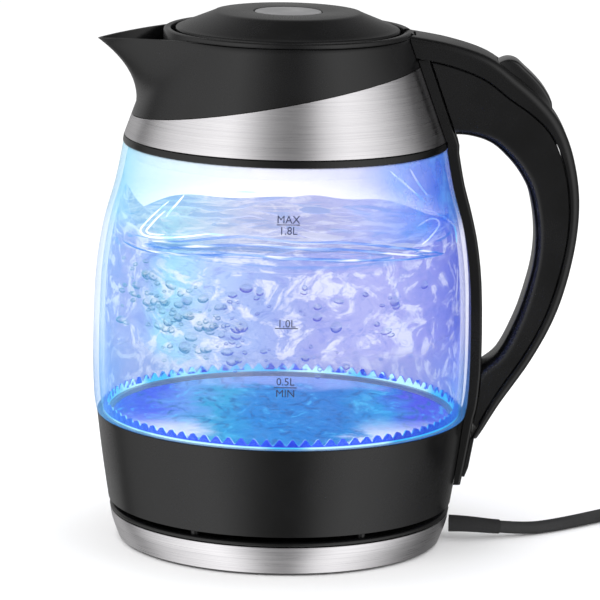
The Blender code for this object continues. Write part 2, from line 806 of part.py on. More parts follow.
def make_glass(frame):
    outline = glass_outline() + glass_outline(GLASS_T, 1)[::-1]
    turned("glass_jug", frame, outline, GLASS)
    seal_out = jug_foot_inner_r() + 0.1 * MM
    ring("lower_seal", frame, seal_out - SEAL_W, seal_out, HOUSING_TOP_Z - SEAL_H, HOUSING_TOP_Z, SILICONE)
    neck_r = BELLY_R - GLASS_CURVE[-1][1] - GLASS_T
    seal_low = GLASS_TOP_Z - UPPER_SEAL_H
    inner, outer = neck_r - UPPER_SEAL_W, neck_r - GAP
    ring("upper_seal", frame, inner, outer, seal_low, GLASS_TOP_Z - GAP, SILICONE)


def make_collar(frame):
    outer = COLLAR_RING_R
    outline = (
        (outer - COLLAR_W, COLLAR_Z),
        (outer - 0.3 * MM, COLLAR_Z),
        (outer, COLLAR_Z + 0.5 * MM),
        (outer - 0.4 * MM, COLLAR_Z + COLLAR_H),
        (outer - COLLAR_W, COLLAR_Z + COLLAR_H),
    )
    turned("glass_collar", frame, outline, BLACK)


def round_angles(steps):
    return [2 * math.pi * i / steps for i in range(steps)]


def slant_point(radius_at_foot, angle, lift=0.0):
    """Where a cone of this foot radius meets the slanted plane, raised by lift, at an angle."""
    tilt = BAND_TILT * math.cos(angle)
    height = BAND_AXIS_H + lift
    radius = (radius_at_foot - CONE_SLOPE * height) / (1 + CONE_SLOPE * tilt)
    return radius, BAND_Z + height + tilt * radius


def make_band(frame):
    """Steel band: a thin cone whose top edge is cut by the slanted plane."""

    def outline_at(angle):
        outer = slant_point(BAND_R, angle)
        inner = slant_point(BAND_R - BAND_T, angle)
        return [(BAND_R - BAND_T, BAND_Z), (BAND_R, BAND_Z), outer, inner]

    round_lofted("steel_band", frame, outline_at, round_angles(ROUND_STEPS), STEEL)


def spout_point_radius(z):
    """How far the front edge of the spout stands from the axis at a height."""
    start = BAND_Z + SPOUT_START_H
    if z <= start:
        return cone_radius(z)
    share = (z - start) / (SPOUT_TIP_H - SPOUT_START_H)
    return cone_radius(start) + SPOUT_REACH * share**SPOUT_POWER


def skin_radius(angle, z):
    """Outside of the head: a circle drawn out to the spout, as a hull of two circles."""
    radius = cone_radius(z)
    tip = spout_point_radius(z)
    off = abs(math.remainder(angle - math.pi, 2 * math.pi))
    share = min(max((z - BAND_Z - SPOUT_START_H) / (SPOUT_TIP_H - SPOUT_START_H), 0), 1)
    nose = SPOUT_ROOT_RADIUS + (SPOUT_TIP_RADIUS - SPOUT_ROOT_RADIUS) * share**0.5
    if tip - nose <= radius - nose + 1e-6:
        return radius
    middle = tip - nose
    tangent = math.acos((radius - nose) / middle)
    if off >= tangent:
        return radius
    on_line = radius / math.cos(tangent - off)
    reach = math.sqrt(max(nose**2 - (middle * math.sin(off)) ** 2, 0))
    on_nose = middle * math.cos(off) + reach if nose > middle * math.sin(off) else 0
    touch_x = middle + nose * math.cos(tangent)
    touch_y = nose * math.sin(tangent)
    return on_nose if off < math.atan2(touch_y, touch_x) and on_nose else on_line


def head_angles():
    """Steps round the head, close together at the spout."""
    angles = []
    for i in range(HEAD_STEPS):
        turn = 2 * math.pi * i / HEAD_STEPS
        angles.append(math.pi + turn - HEAD_CROWDING * math.sin(turn))
    return angles


def rim_z(angle):
    """The rim falls from the collar's shoulder to the tip of the spout."""
    shoulder = HEAD_TOP_Z - SHOULDER_H
    reach = skin_radius(angle, shoulder) - cone_radius(shoulder)
    longest = spout_point_radius(shoulder) - cone_radius(shoulder)
    return shoulder - (shoulder - BAND_Z - SPOUT_TIP_H) * reach / longest


def head_outline(angle):
    liner_foot = BAND_R - BAND_T - GAP
    liner_top = slant_point(liner_foot, angle, GAP)
    skin_low = slant_point(BAND_R, angle, GAP)[1]
    rim = rim_z(angle)
    outline = [(liner_foot, BAND_Z), liner_top]
    levels = 6
    for i in range(levels):
        z = skin_low + (rim - 0.5 * MM - skin_low) * i / (levels - 1)
        outline.append((skin_radius(angle, z), z))
    outer = skin_radius(angle, rim)
    outline.append((outer - 0.7 * MM, rim))
    inner = max(outer - SPOUT_WALL, COLLAR_OUTER_R + 0.3 * MM)
    open_share = min((inner - COLLAR_OUTER_R - 0.3 * MM) / TROUGH_EASE, 1)
    floor = rim + 0.3 * MM - open_share * TROUGH_DEPTH
    floor_out = min(max(skin_radius(angle, floor) - SPOUT_WALL, COLLAR_OUTER_R + 0.2 * MM), inner)
    lip = rim + 0.1 * MM - 0.2 * MM * open_share
    outline.append((inner, lip))
    for share in TROUGH_SHARES:
        z = lip + (floor - lip) * share
        wall = max(skin_radius(angle, z) - SPOUT_WALL, floor_out)
        outline.append((min(wall, inner), z))
    outline.append((floor_out, floor))
    outline.append((COLLAR_OUTER_R + 0.1 * MM, floor + 0.1 * MM))
    outline.append((COLLAR_OUTER_R, HEAD_TOP_Z - 0.8 * MM))
    outline.append((COLLAR_OUTER_R - 0.8 * MM, HEAD_TOP_Z))
    outline.append((MOUTH_R + 0.5 * MM, HEAD_TOP_Z))
    outline.append((MOUTH_R, HEAD_TOP_Z - 0.5 * MM))
    outline.append((MOUTH_R, PLUG_FOOT_Z))
    outline.append((liner_foot - HEAD_WALL, BAND_Z + LINER_FOOT_H))
    outline.append((liner_foot - HEAD_WALL, BAND_Z))
    return outline


def hinge_notch(frame, name):
    """A cutter for the room in which the lid's knuckle swings."""
    return block(
        name,
        frame,
        (MOUTH_R - 3 * MM, -KNUCKLE_HALF - SLIDE_GAP, HINGE_Z - 5.4 * MM),
        (HINGE_X + KNUCKLE_R + SLIDE_GAP, KNUCKLE_HALF + SLIDE_GAP, HEAD_TOP_Z + OVERCUT),
        None,
    )


def hinge_bore(frame, name):
    """A cutter for the holes that hold the ends of the hinge pin."""
    return rod_along_y(name, frame, HINGE_PIN_R + GAP, HINGE_PIN_HALF + GAP, HINGE_X, HINGE_Z, None)


def make_head(frame):
    head = round_lofted("head_shell", frame, head_outline, head_angles(), BLACK)
    boolean(head, hinge_notch(frame, "head_hinge_notch"))
    boolean(head, hinge_bore(frame, "head_hinge_bore"))
    rod_along_y("hinge_pin", frame, HINGE_PIN_R, HINGE_PIN_HALF, HINGE_X, HINGE_Z, STEEL)
    low = HEAD_TOP_Z - OUTLET_TOP - OUTLET_H
    outlet = block(
        "spout_outlet",
        frame,
        (-COLLAR_OUTER_R - 1.5 * MM, -OUTLET_W / 2, low),
        (-MOUTH_R + 6 * MM, OUTLET_W / 2, low + OUTLET_H),
        None,
    )
    boolean(head, outlet)
    make_filter(frame, low)


def make_filter(frame, low):
    """Slotted plate that stands in the outlet between jug and spout."""
    middle = -(COLLAR_OUTER_R + MOUTH_R) / 2 + 0.6 * MM
    half = OUTLET_W / 2 - GAP
    plate = block(
        "spout_filter",
        frame,
        (middle - FILTER_T / 2, -half, low + GAP),
        (middle + FILTER_T / 2, half, low + OUTLET_H - GAP),
        SILICONE,
    )
    for i in range(FILTER_SLOTS):
        y = (i - (FILTER_SLOTS - 1) / 2) * 2 * FILTER_SLOT_W
        slot = block(
            f"filter_slot_{i + 1}",
            frame,
            (middle - OVERCUT, y - FILTER_SLOT_W / 2, low + 1.4 * MM),
            (middle + OVERCUT, y + FILTER_SLOT_W / 2, low + OUTLET_H - 1.4 * MM),
            None,
        )
        boolean(plate, slot)


# ---------------------------------------------------------------- lid


def make_lid(frame):
    """Lid shell, plug with hinge knuckle, seal and the disc let into the top."""
    top = HEAD_TOP_Z + LID_H - LID_LIP_H
    pocket_r = DISC_R + SLIDE_GAP
    pocket_z = top - DISC_T - GAP
    shoulder = (LID_R - 1.7 * MM, HEAD_TOP_Z + 0.7 * MM)
    outline = (
        (0, pocket_z),
        (pocket_r, pocket_z),
        (pocket_r, top),
        (LID_TOP_R - 1.0 * MM, top),
        (LID_TOP_R + 0.3 * MM, top - 0.4 * MM),
        shoulder,
        (LID_R, HEAD_TOP_Z - 0.2 * MM),
        (LID_R, LID_LIP_Z),
        (LID_R - LID_T, LID_LIP_Z),
        (shoulder[0] - LID_T, shoulder[1] - 0.9 * MM),
        (LID_TOP_R - 1.4 * MM, top - LID_T - 0.8 * MM),
        (0, top - LID_T - 0.8 * MM),
    )
    turned("lid_cover", frame, outline, BLACK, ROUND_STEPS)
    disc("lid_disc", frame, DISC_R, top - DISC_T, top, SILVER, 32)
    make_lid_plug(frame)


def make_lid_plug(frame):
    seal_low = PLUG_FOOT_Z + 3.4 * MM
    flange_r = PLUG_R + 1.6 * MM
    outline = (
        (0, PLUG_FOOT_Z),
        (flange_r - 0.6 * MM, PLUG_FOOT_Z),
        (flange_r, PLUG_FOOT_Z + 0.6 * MM),
        (flange_r, seal_low - GAP),
        (PLUG_R, seal_low - GAP),
        (PLUG_R, PLUG_TOP_Z),
        (PLUG_R - PLUG_T, PLUG_TOP_Z),
        (PLUG_R - PLUG_T, PLUG_FOOT_Z + PLUG_T),
        (0, PLUG_FOOT_Z + PLUG_T),
    )
    plug = turned("lid_plug", frame, outline, BLACK, ROUND_STEPS)
    arm = block(
        "hinge_arm",
        frame,
        (PLUG_R - 1.0 * MM, -KNUCKLE_HALF + 0.5 * MM, HINGE_Z - 3.4 * MM),
        (HINGE_X, KNUCKLE_HALF - 0.5 * MM, HINGE_Z - 0.9 * MM),
        None,
    )
    boolean(plug, arm, "UNION")
    knuckle = rod_along_y("hinge_knuckle", frame, KNUCKLE_R, KNUCKLE_HALF, HINGE_X, HINGE_Z, None)
    boolean(plug, knuckle, "UNION")
    bore_half = KNUCKLE_HALF + OVERCUT
    bore = rod_along_y("knuckle_bore", frame, HINGE_PIN_R + GAP, bore_half, HINGE_X, HINGE_Z, None)
    boolean(plug, bore)
    ring(
        "lid_seal",
        frame,
        PLUG_R + GAP,
        MOUTH_R - LID_SEAL_CLEARANCE,
        seal_low,
        seal_low + LID_SEAL_H,
        SILICONE,
    )


# ---------------------------------------------------------------- handle


def rib_rows(steps=RIB_STEPS):
    """Handle ribs in metres from the kettle axis, smoothed along the handle."""
    rows = []
    height = HEAD_TOP_Z - KETTLE_FOOT_Z
    for out_x, out_share, in_x, in_share, half, depth in HANDLE_RIBS:
        rows.append(
            (
                BELLY_R + out_x * MM,
                KETTLE_FOOT_Z + out_share * height,
                BELLY_R + in_x * MM,
                KETTLE_FOOT_Z + in_share * height,
                half * MM,
                depth * MM,
            )
        )
    return smooth_rows(rows, steps)


def rib_points(row, corners):
    """World points of one rib from (depth below the back, sideways) pairs."""
    out = Vector((row[0], 0, row[1]))
    inward = (Vector((row[2], 0, row[3])) - out).normalized()
    return [out + inward * u + Vector((0, v, 0)) for u, v in corners]


def rib_depth(row):
    return math.hypot(row[2] - row[0], row[3] - row[1])


def rounded_end(far, half, corner, direction):
    """Corner points of a rib end, from side -half to side +half, with rounded corners."""
    points = []
    for side in (-1, 1):
        arc = [math.radians(a) for a in (0, 30, 60, 90)]
        if side == 1:
            arc = arc[::-1]
        for a in arc:
            u = far - direction * corner * (1 - math.sin(a))
            v = side * (half - corner * (1 - math.cos(a)))
            points.append((u, v))
    return points


def shell_section(row):
    far = rib_depth(row)
    start = row[5]
    ends = [(start, row[4])] + [(start, -row[4])]
    return rib_points(row, ends[1:] + rounded_end(far, row[4], HANDLE_CORNER, 1) + ends[:1])


def cover_section(row):
    depth = row[5] - GAP
    corner = min(COVER_CORNER, 0.7 * depth)
    back = rounded_end(0, row[4], corner, -1)
    return rib_points(row, [(depth, -row[4])] + back + [(depth, row[4])])


def cavity_section(row, near, far):
    side = row[4] - HANDLE_WALL
    return rib_points(row, [(near, -side), (far, -side), (far, side), (near, side)])


def body_cutter(frame, name, clearance):
    """Outside of the kettle body grown by a clearance, as one closed turned shape."""
    outline = [(r + clearance, z) for r, z in body_outline()]
    low = (0, outline[0][1])
    high = (0, HEAD_TOP_Z + OVERCUT)
    top = (outline[-1][0], HEAD_TOP_Z + OVERCUT)
    return turned(name, frame, [low] + outline + [top, high], None)


def spine_proud(z):
    """How far the spine stands off the body at a height."""
    foot = KETTLE_FOOT_Z + SPINE_FOOT_H
    share = min(max((z - foot) / (3 * SWITCH_H), 0), 1)
    return SPINE_FOOT_PROUD + (SPINE_PROUD - SPINE_FOOT_PROUD) * share


def spine_heights():
    foot = KETTLE_FOOT_Z + SPINE_FOOT_H
    top = HEAD_TOP_Z - SPINE_TOP_DROP
    count = 18
    return [foot + (top - foot) * i / count for i in range(count + 1)]


def spine_section(z, extra, half, inside):
    outer = body_radius(z) + spine_proud(z) + extra
    inner = body_radius(z) - inside
    corner = 1.2 * MM
    return [
        Vector((inner, -half, z)),
        Vector((outer - corner, -half, z)),
        Vector((outer, -half + corner, z)),
        Vector((outer, half - corner, z)),
        Vector((outer - corner, half, z)),
        Vector((inner, half, z)),
    ]


def make_spine(frame):
    """Strip that lies along the glass and carries the handle."""
    sections = [spine_section(z, 0, SPINE_HALF, 3 * MM) for z in spine_heights()]
    spine = lofted("handle_spine", frame, sections, BLACK)
    boolean(spine, body_cutter(frame, "spine_body_clearance", GAP))
    outer = body_radius(SWITCH_PIVOT_Z) + spine_proud(SWITCH_PIVOT_Z)
    pocket = block(
        "switch_pocket",
        frame,
        (outer - SWITCH_POCKET, -SWITCH_HALF - SLIDE_GAP, SWITCH_PIVOT_Z - 2.4 * MM),
        (outer + 3 * OVERCUT, SWITCH_HALF + SLIDE_GAP, SWITCH_TOP_Z + SLIDE_GAP),
        None,
    )
    boolean(spine, pocket)
    pivot_x = switch_pivot_x()
    half = SWITCH_HALF + 2 * MM
    bore_r = SWITCH_PIN_R + GAP
    bore = rod_along_y("switch_bore", frame, bore_r, half + GAP, pivot_x, SWITCH_PIVOT_Z, None, 12)
    boolean(spine, bore)
    rod_along_y("switch_pin", frame, SWITCH_PIN_R, half, pivot_x, SWITCH_PIVOT_Z, STEEL, 12)


def spine_cutter(frame, name, above):
    """Everything on the body side of the spine's outer face, grown by the gap."""
    rows = spine_heights()
    rows = [rows[0] - 12 * MM] + rows + [rows[-1] + above]
    sections = []
    for z in rows:
        outer = body_radius(z) + spine_proud(z) + GAP
        inner = body_radius(z) - 20 * MM
        half = 25 * MM
        corners = ((inner, -half), (outer, -half), (outer, half), (inner, half))
        sections.append([Vector((x, y, z)) for x, y in corners])
    return lofted(name, frame, sections, None)


def make_handle(frame):
    rows = rib_rows()
    hollow_rows = rib_rows(HOLLOW_STEPS)
    first = HOLLOW_STEPS + 1
    shell = lofted("handle_inner_shell", frame, [shell_section(row) for row in rows[:-2]], BLACK)
    inside = hollow_rows[first : SHELL_HOLLOW_END * HOLLOW_STEPS]
    hollow = [cavity_section(row, row[5] - OVERCUT, rib_depth(row) - HANDLE_WALL) for row in inside]
    boolean(shell, lofted("shell_hollow", frame, hollow, None))
    boolean(shell, spine_cutter(frame, "shell_spine_clearance", 2 * SPINE_TOP_DROP))
    boolean(shell, body_cutter(frame, "shell_body_clearance", GAP))
    cover = lofted("handle_outer_cover", frame, [cover_section(row) for row in rows], BLACK)
    inside = hollow_rows[first : COVER_HOLLOW_END * HOLLOW_STEPS]
    hollow = [cavity_section(row, HANDLE_WALL, row[5] + OVERCUT) for row in inside]
    boolean(cover, lofted("cover_hollow", frame, hollow, None))
    boolean(cover, spine_cutter(frame, "cover_spine_clearance", GAP))
    boolean(cover, body_cutter(frame, "cover_body_clearance", GAP))
    boolean(cover, button_well(frame))
    boolean(cover, hinge_notch(frame, "cover_hinge_notch"))
    boolean(cover, hinge_bore(frame, "cover_hinge_bore"))
    middle = [(row[5] + rib_depth(row)) / 2 for row in rows]
    path = [rib_points(row, [(depth, 0)])[0] for row, depth in zip(rows, middle)]
    tube("steam_tube", frame, path[2 * RIB_STEPS : 10 * RIB_STEPS], STEAM_TUBE_R, SILICONE, 1)


def button_axes():
    """Middle of the button on the handle's back, direction along the back, direction inwards."""
    rows = rib_rows(10)
    index = round(BUTTON_RIB * 10)
    middle = Vector((rows[index][0], 0, rows[index][1]))
    before, after = rows[index - 4], rows[index + 4]
    along = Vector((after[0] - before[0], 0, after[1] - before[1])).normalized()
    inward = Vector((along.z, 0, -along.x))
    if inward.z > 0:
        inward = -inward
    return middle, along, inward


def button_outline(grow, top, depth):
    """(x, z) corners of a rectangle along the button, grown by a clearance."""
    middle, along, inward = button_axes()
    half = BUTTON_LENGTH / 2 + grow
    corners = ((-half, -top), (half, -top), (half, depth), (-half, depth))
    return [(middle + along * s + inward * d).xz for s, d in corners]


def button_well(frame):
    outline = button_outline(SLIDE_GAP, 4 * BUTTON_PROUD, 3 * BUTTON_DEPTH)
    return prism("button_well", frame, outline, BUTTON_HALF + SLIDE_GAP, None)


def make_button(frame):
    """Thumb button with its crest near the head end, and the rod that reaches to the lid catch."""
    middle, along, inward = button_axes()
    half = BUTTON_LENGTH / 2
    crest = (
        (-half, 0.4 * MM),
        (-half, -0.8 * MM),
        (-0.62 * half, -BUTTON_PROUD),
        (-0.30 * half, -0.97 * BUTTON_PROUD),
        (0.35 * half, -0.80 * BUTTON_PROUD),
        (0.86 * half, -0.30 * BUTTON_PROUD),
        (half, 0.4 * MM),
        (half, BUTTON_DEPTH),
        (-half, BUTTON_DEPTH),
    )
    outline = [(middle + along * s + inward * d).xz for s, d in crest]
    prism("release_button", frame, outline, BUTTON_HALF, SOFT_BLACK)
    top = BUTTON_DEPTH + GAP
    foot = ROD_FOOT_SHARE * half
    tip = foot - ROD_LENGTH
    rod = ((foot, top), (foot, top + ROD_T), (tip, top + ROD_T), (tip, top))
    prism("release_rod", frame, [(middle + along * s + inward * d).xz for s, d in rod], ROD_HALF, SILVER)


def switch_pivot_x():
    return body_radius(SWITCH_PIVOT_Z) + spine_proud(SWITCH_PIVOT_Z) - 0.9 * MM


def make_switch(frame):
    """Power lever: a thin paddle on the foot of the spine that swings about a pin at its top."""
    count = 4
    heights = [SWITCH_FOOT_Z + (SWITCH_TOP_Z - SWITCH_FOOT_Z) * i / count for i in range(count + 1)]
    inner = [(body_radius(z) + spine_proud(z) + SLIDE_GAP, z) for z in heights]
    outer = [(x + SWITCH_T, z) for x, z in inner]
    outer[0] = (outer[0][0] - 0.8 * MM, outer[0][1])
    lever = prism("power_switch", frame, inner + outer[::-1], SWITCH_HALF, SOFT_BLACK)
    pivot_x = switch_pivot_x()
    boss_half = SWITCH_HALF - GAP
    boss = rod_along_y("switch_boss", frame, SWITCH_BOSS_R, boss_half, pivot_x, SWITCH_PIVOT_Z, None, 16)
    boolean(lever, boss, "UNION")
    bore = rod_along_y(
        "lever_bore", frame, SWITCH_PIN_R + GAP, SWITCH_HALF + OVERCUT, pivot_x, SWITCH_PIVOT_Z, None, 12
    )
    boolean(lever, bore)


# ---------------------------------------------------------------- cord


def circle_section(centre, heading, radius, sides=16):
    side = Vector((-heading.y, heading.x, 0)).normalized()
    up = heading.cross(side)
    turns = [2 * math.pi * i / sides for i in range(sides)]
    return [centre + side * radius * math.cos(t) + up * radius * math.sin(t) for t in turns]


def make_strain_relief(frame):
    """Flange inside the skirt, neck through the wall, and a taper that bends down to the cord."""
    wall_out = BASE_RIM_R + GAP
    skirt_in = BASE_RIM_R - TRIM_FLARE - TRIM_T - GAP - BASE_SKIRT_T
    flange_x = skirt_in - GAP
    start = Vector((wall_out, 0, CORD_EXIT_Z))
    end = Vector(RELIEF_END)
    straight = Vector((1, 0, 0))
    sections = [
        circle_section(Vector((flange_x - 2.5 * MM, 0, CORD_EXIT_Z)), straight, RELIEF_FLANGE_R),
        circle_section(Vector((flange_x, 0, CORD_EXIT_Z)), straight, RELIEF_FLANGE_R),
        circle_section(Vector((flange_x + 0.1 * MM, 0, CORD_EXIT_Z)), straight, RELIEF_NECK_R),
        circle_section(start, straight, RELIEF_NECK_R),
        circle_section(start + straight * 0.1 * MM, straight, RELIEF_ROOT_R),
    ]
    heading = (Vector(CORD_ROUTE[1]) - Vector(CORD_ROUTE[0])).normalized()
    count = 5
    for i in range(1, count + 1):
        t = i / count
        handle_in = start + straight * 10 * MM
        handle_out = end - heading * 8 * MM
        point = (
            start * (1 - t) ** 3
            + handle_in * 3 * t * (1 - t) ** 2
            + handle_out * 3 * t**2 * (1 - t)
            + end * t**3
        )
        radius = RELIEF_ROOT_R + (RELIEF_END_R - RELIEF_ROOT_R) * t
        sections.append(circle_section(point, straight.lerp(heading, t).normalized(), radius))
    lofted("strain_relief", frame, sections, SOFT_BLACK)


def make_cord(frame):
    tube("cord_lead", frame, CORD_ROUTE, CORD_D / 2, SOFT_BLACK, 2)
    tube("cord_tail", frame, CORD_TAIL, CORD_D / 2, SOFT_BLACK, 2)
    low = CORD_REST_Z - CORD_D / 2
    outline = [
        (COIL_MEAN_R - CORD_D, low + 1.5 * MM),
        (COIL_MEAN_R - CORD_D + 1.5 * MM, low),
        (COIL_MEAN_R + CORD_D - 1.5 * MM, low),
        (COIL_MEAN_R + CORD_D, low + 1.5 * MM),
        (COIL_MEAN_R + CORD_D, low + 2 * CORD_D - 1.5 * MM),
        (COIL_MEAN_R + CORD_D - 1.5 * MM, low + 2 * CORD_D),
        (COIL_MEAN_R - CORD_D + 1.5 * MM, low + 2 * CORD_D),
        (COIL_MEAN_R - CORD_D, low + 2 * CORD_D - 1.5 * MM),
    ]
    coil = turned("cord_coil", frame, outline, SOFT_BLACK, 28)
    for vert in coil.data.vertices:
        vert.co.x += COIL_CENTRE[0]
        vert.co.y += COIL_CENTRE[1]


def make_plug(frame):
    """Flat two-blade plug lying on the table at the end of the cord."""
    heading = Vector((math.cos(PLUG_HEADING), math.sin(PLUG_HEADING), 0))
    side = Vector((-heading.y, heading.x, 0))
    start = Vector((*PLUG_START, PLUG_CENTRE_Z))

    def section(along, half_w, half_h, corner):
        points = []
        for sx, sz in ((1, 1), (-1, 1), (-1, -1), (1, -1)):
            pairs = ((half_w, half_h - corner), (half_w - corner, half_h))
            for w, h in pairs if sx * sz > 0 else pairs[::-1]:
                points.append(start + heading * along + side * sx * w + Vector((0, 0, sz * h)))
        return points

    relief = RELIEF_END_R
    end = PLUG_RELIEF_L + PLUG_BODY_L
    sections = (
        section(0, relief, relief, relief * 0.55),
        section(PLUG_RELIEF_L, relief * 1.35, relief * 1.2, relief * 0.6),
        section(PLUG_RELIEF_L + 5 * MM, PLUG_BODY_W / 2, PLUG_BODY_H / 2, 2.5 * MM),
        section(end - 2 * MM, PLUG_BODY_W / 2, PLUG_BODY_H / 2, 2.5 * MM),
        section(end, PLUG_BODY_W / 2 - MM, PLUG_BODY_H / 2 - MM, 2.5 * MM),
    )
    lofted("plug_body", frame, sections, SOFT_BLACK)
    for label, sign in (("left", 1), ("right", -1)):
        centre = start + side * sign * BLADE_PITCH / 2
        low = end + GAP
        blade = []
        for along, shrink in ((low, 0), (low + BLADE_L - 1.5 * MM, 0), (low + BLADE_L, 1.0 * MM)):
            base = centre + heading * along
            half_w = BLADE_THICK / 2 - shrink * 0.3
            half_h = BLADE_W / 2 - shrink
            corners = ((half_w, half_h), (-half_w, half_h), (-half_w, -half_h), (half_w, -half_h))
            blade.append([base + side * w + Vector((0, 0, h)) for w, h in corners])
        lofted("plug_blade_" + label, frame, blade, BRASS)


def main():
    clear_scene()
    base = frame_at("base_frame", 0, 0)
    make_base(base)
    make_strain_relief(base)
    make_cord(base)
    make_plug(base)
    make_turn_ring(frame_at("turn_axis", 0, BASE_TOP_Z))
    kettle = frame_at("kettle_frame", 0, KETTLE_FOOT_Z)
    make_underside(kettle)
    make_connector(kettle)
    make_housing(kettle)
    make_heater(kettle)
    make_light(kettle)
    make_glass(kettle)
    make_collar(kettle)
    make_band(kettle)
    make_head(kettle)
    make_spine(kettle)
    make_handle(kettle)
    make_lid(frame_at("lid_hinge_axis", HINGE_X, HINGE_Z))
    middle = button_axes()[0]
    make_button(frame_at("release_button_frame", middle.x, middle.z))
    make_switch(frame_at("power_switch_axis", switch_pivot_x(), SWITCH_PIVOT_Z))


main()
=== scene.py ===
"""Glass electric kettle on a round power base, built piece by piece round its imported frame."""

import json
import math
import random

import bpy
from mathutils import Matrix, Vector

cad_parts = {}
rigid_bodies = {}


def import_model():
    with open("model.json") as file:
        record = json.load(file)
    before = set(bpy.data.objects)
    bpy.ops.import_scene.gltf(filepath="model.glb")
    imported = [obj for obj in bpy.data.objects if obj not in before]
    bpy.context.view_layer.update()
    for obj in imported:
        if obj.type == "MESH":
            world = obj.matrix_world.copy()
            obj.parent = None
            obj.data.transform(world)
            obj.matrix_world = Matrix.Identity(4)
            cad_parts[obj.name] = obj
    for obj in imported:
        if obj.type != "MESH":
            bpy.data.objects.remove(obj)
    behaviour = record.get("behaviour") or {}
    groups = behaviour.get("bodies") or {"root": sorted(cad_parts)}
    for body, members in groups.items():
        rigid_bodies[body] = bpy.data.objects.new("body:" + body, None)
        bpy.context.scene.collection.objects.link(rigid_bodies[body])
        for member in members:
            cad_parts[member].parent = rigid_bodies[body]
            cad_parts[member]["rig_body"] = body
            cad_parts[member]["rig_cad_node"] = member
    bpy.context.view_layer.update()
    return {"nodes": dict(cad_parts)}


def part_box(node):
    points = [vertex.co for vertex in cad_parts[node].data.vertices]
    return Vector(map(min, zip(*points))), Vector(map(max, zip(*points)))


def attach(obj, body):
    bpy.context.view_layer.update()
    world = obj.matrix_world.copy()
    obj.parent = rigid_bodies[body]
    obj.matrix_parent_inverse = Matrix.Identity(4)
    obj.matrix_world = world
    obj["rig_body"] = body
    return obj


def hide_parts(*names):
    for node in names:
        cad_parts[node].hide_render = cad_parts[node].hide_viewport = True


bl_info = {
    "name": "Glass Kettle",
    "version": (1, 0, 0),
    "blender": (4, 5, 0),
    "location": "View3D > Sidebar > Kettle",
    "description": "Builds a glass electric kettle and its power base",
    "category": "Add Mesh",
}

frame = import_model()

MM = 0.001
ROUND = 144  # steps round the kettle
POLE = 0.01 * MM  # radius of a row that closes to a point
MERGE = 0.03 * MM
SKIN = 0.05 * MM  # printed marks stand this far off the glass
GAP = 0.3 * MM


def low(node):
    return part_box(node)[0]


def high(node):
    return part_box(node)[1]


def radius_of(node):
    return (high(node).y - low(node).y) / 2


AXIS_X = (low("glass_jug").x + high("glass_jug").x) / 2

# Heights and radii that several pieces share, all taken from the frame
BELLY_R = radius_of("glass_jug")
BASE_R = radius_of("base_top_cover")
TRIM_LOW = low("base_trim_ring").z
TRIM_HIGH = high("base_trim_ring").z
BASE_TOP = low("turn_ring").z - GAP
KETTLE_FOOT = low("lower_housing").z
HOUSING_TOP = high("lower_housing").z
GLASS_FOOT = low("glass_jug").z
GLASS_TOP = high("glass_jug").z
GLASS_WALL = 2.5 * MM
COLLAR_R = radius_of("glass_collar")
BAND_FOOT = low("steel_band").z
BAND_R = radius_of("steel_band")
HEAD_TOP = high("head_shell").z
LID_R = radius_of("lid_cover")
LID_TOP = high("lid_cover").z
SLOPE = 0.36  # radius that band and head lose per unit of height
TILT = 0.19  # rise of the slanted edge towards the handle
BAND_RISE = 20.8 * MM  # height of the slanted edge at the axis
BAND_WALL = 0.8 * MM
HEAD_WALL = 2 * MM


def tone(code):
    """Colour of a six-digit code, in linear light."""
    parts = [int(code[i : i + 2], 16) / 255 for i in (0, 2, 4)]
    return tuple(p / 12.92 if p <= 0.04045 else ((p + 0.055) / 1.055) ** 2.4 for p in parts) + (1.0,)


# ---------------------------------------------------------------- sizes and colours


def length(name, description, default):
    return bpy.props.FloatProperty(name=name, description=description, default=default, unit="LENGTH")


def colour(name, description, code):
    return bpy.props.FloatVectorProperty(
        name=name, description=description, default=tone(code), size=4, min=0, max=1, subtype="COLOR"
    )


class KettleSizes(bpy.types.PropertyGroup):
    water_level: length("Water level", "Height of the still water above the table", 136 * MM)
    wave_height: length("Wave height", "Height of the ripples on the water", 1.1 * MM)
    splash_height: length("Splash height", "How far the water climbs at the spout side", 19 * MM)
    light_teeth: bpy.props.IntProperty(
        name="Light teeth", description="Teeth on the light ring", default=88, min=12, max=180
    )
    bubbles: bpy.props.IntProperty(
        name="Bubbles", description="Bubbles that rise through the water", default=150, min=0, max=600
    )
    mark_width: length("Mark width", "Width of the lines of the level marks", 9.4 * MM)
    cord_diameter: length("Cord diameter", "Outside diameter of the power cord", 5.5 * MM)


class KettleColours(bpy.types.PropertyGroup):
    plastic: colour("Plastic", "Moulded black plastic", "090909")
    plastic_light: colour("Plastic, light", "Lighter clouds in the black plastic", "0e0e0f")
    steel: colour("Steel", "Brushed steel", "ebe9eb")
    steel_dark: colour("Steel, dark", "Darker strokes in the brushed steel", "cdcbce")
    mark: colour("Marks", "Print of the level marks", "2a3350")


def sizes():
    return bpy.context.scene.kettle_sizes


def colours():
    return bpy.context.scene.kettle_colours


# ---------------------------------------------------------------- finishes


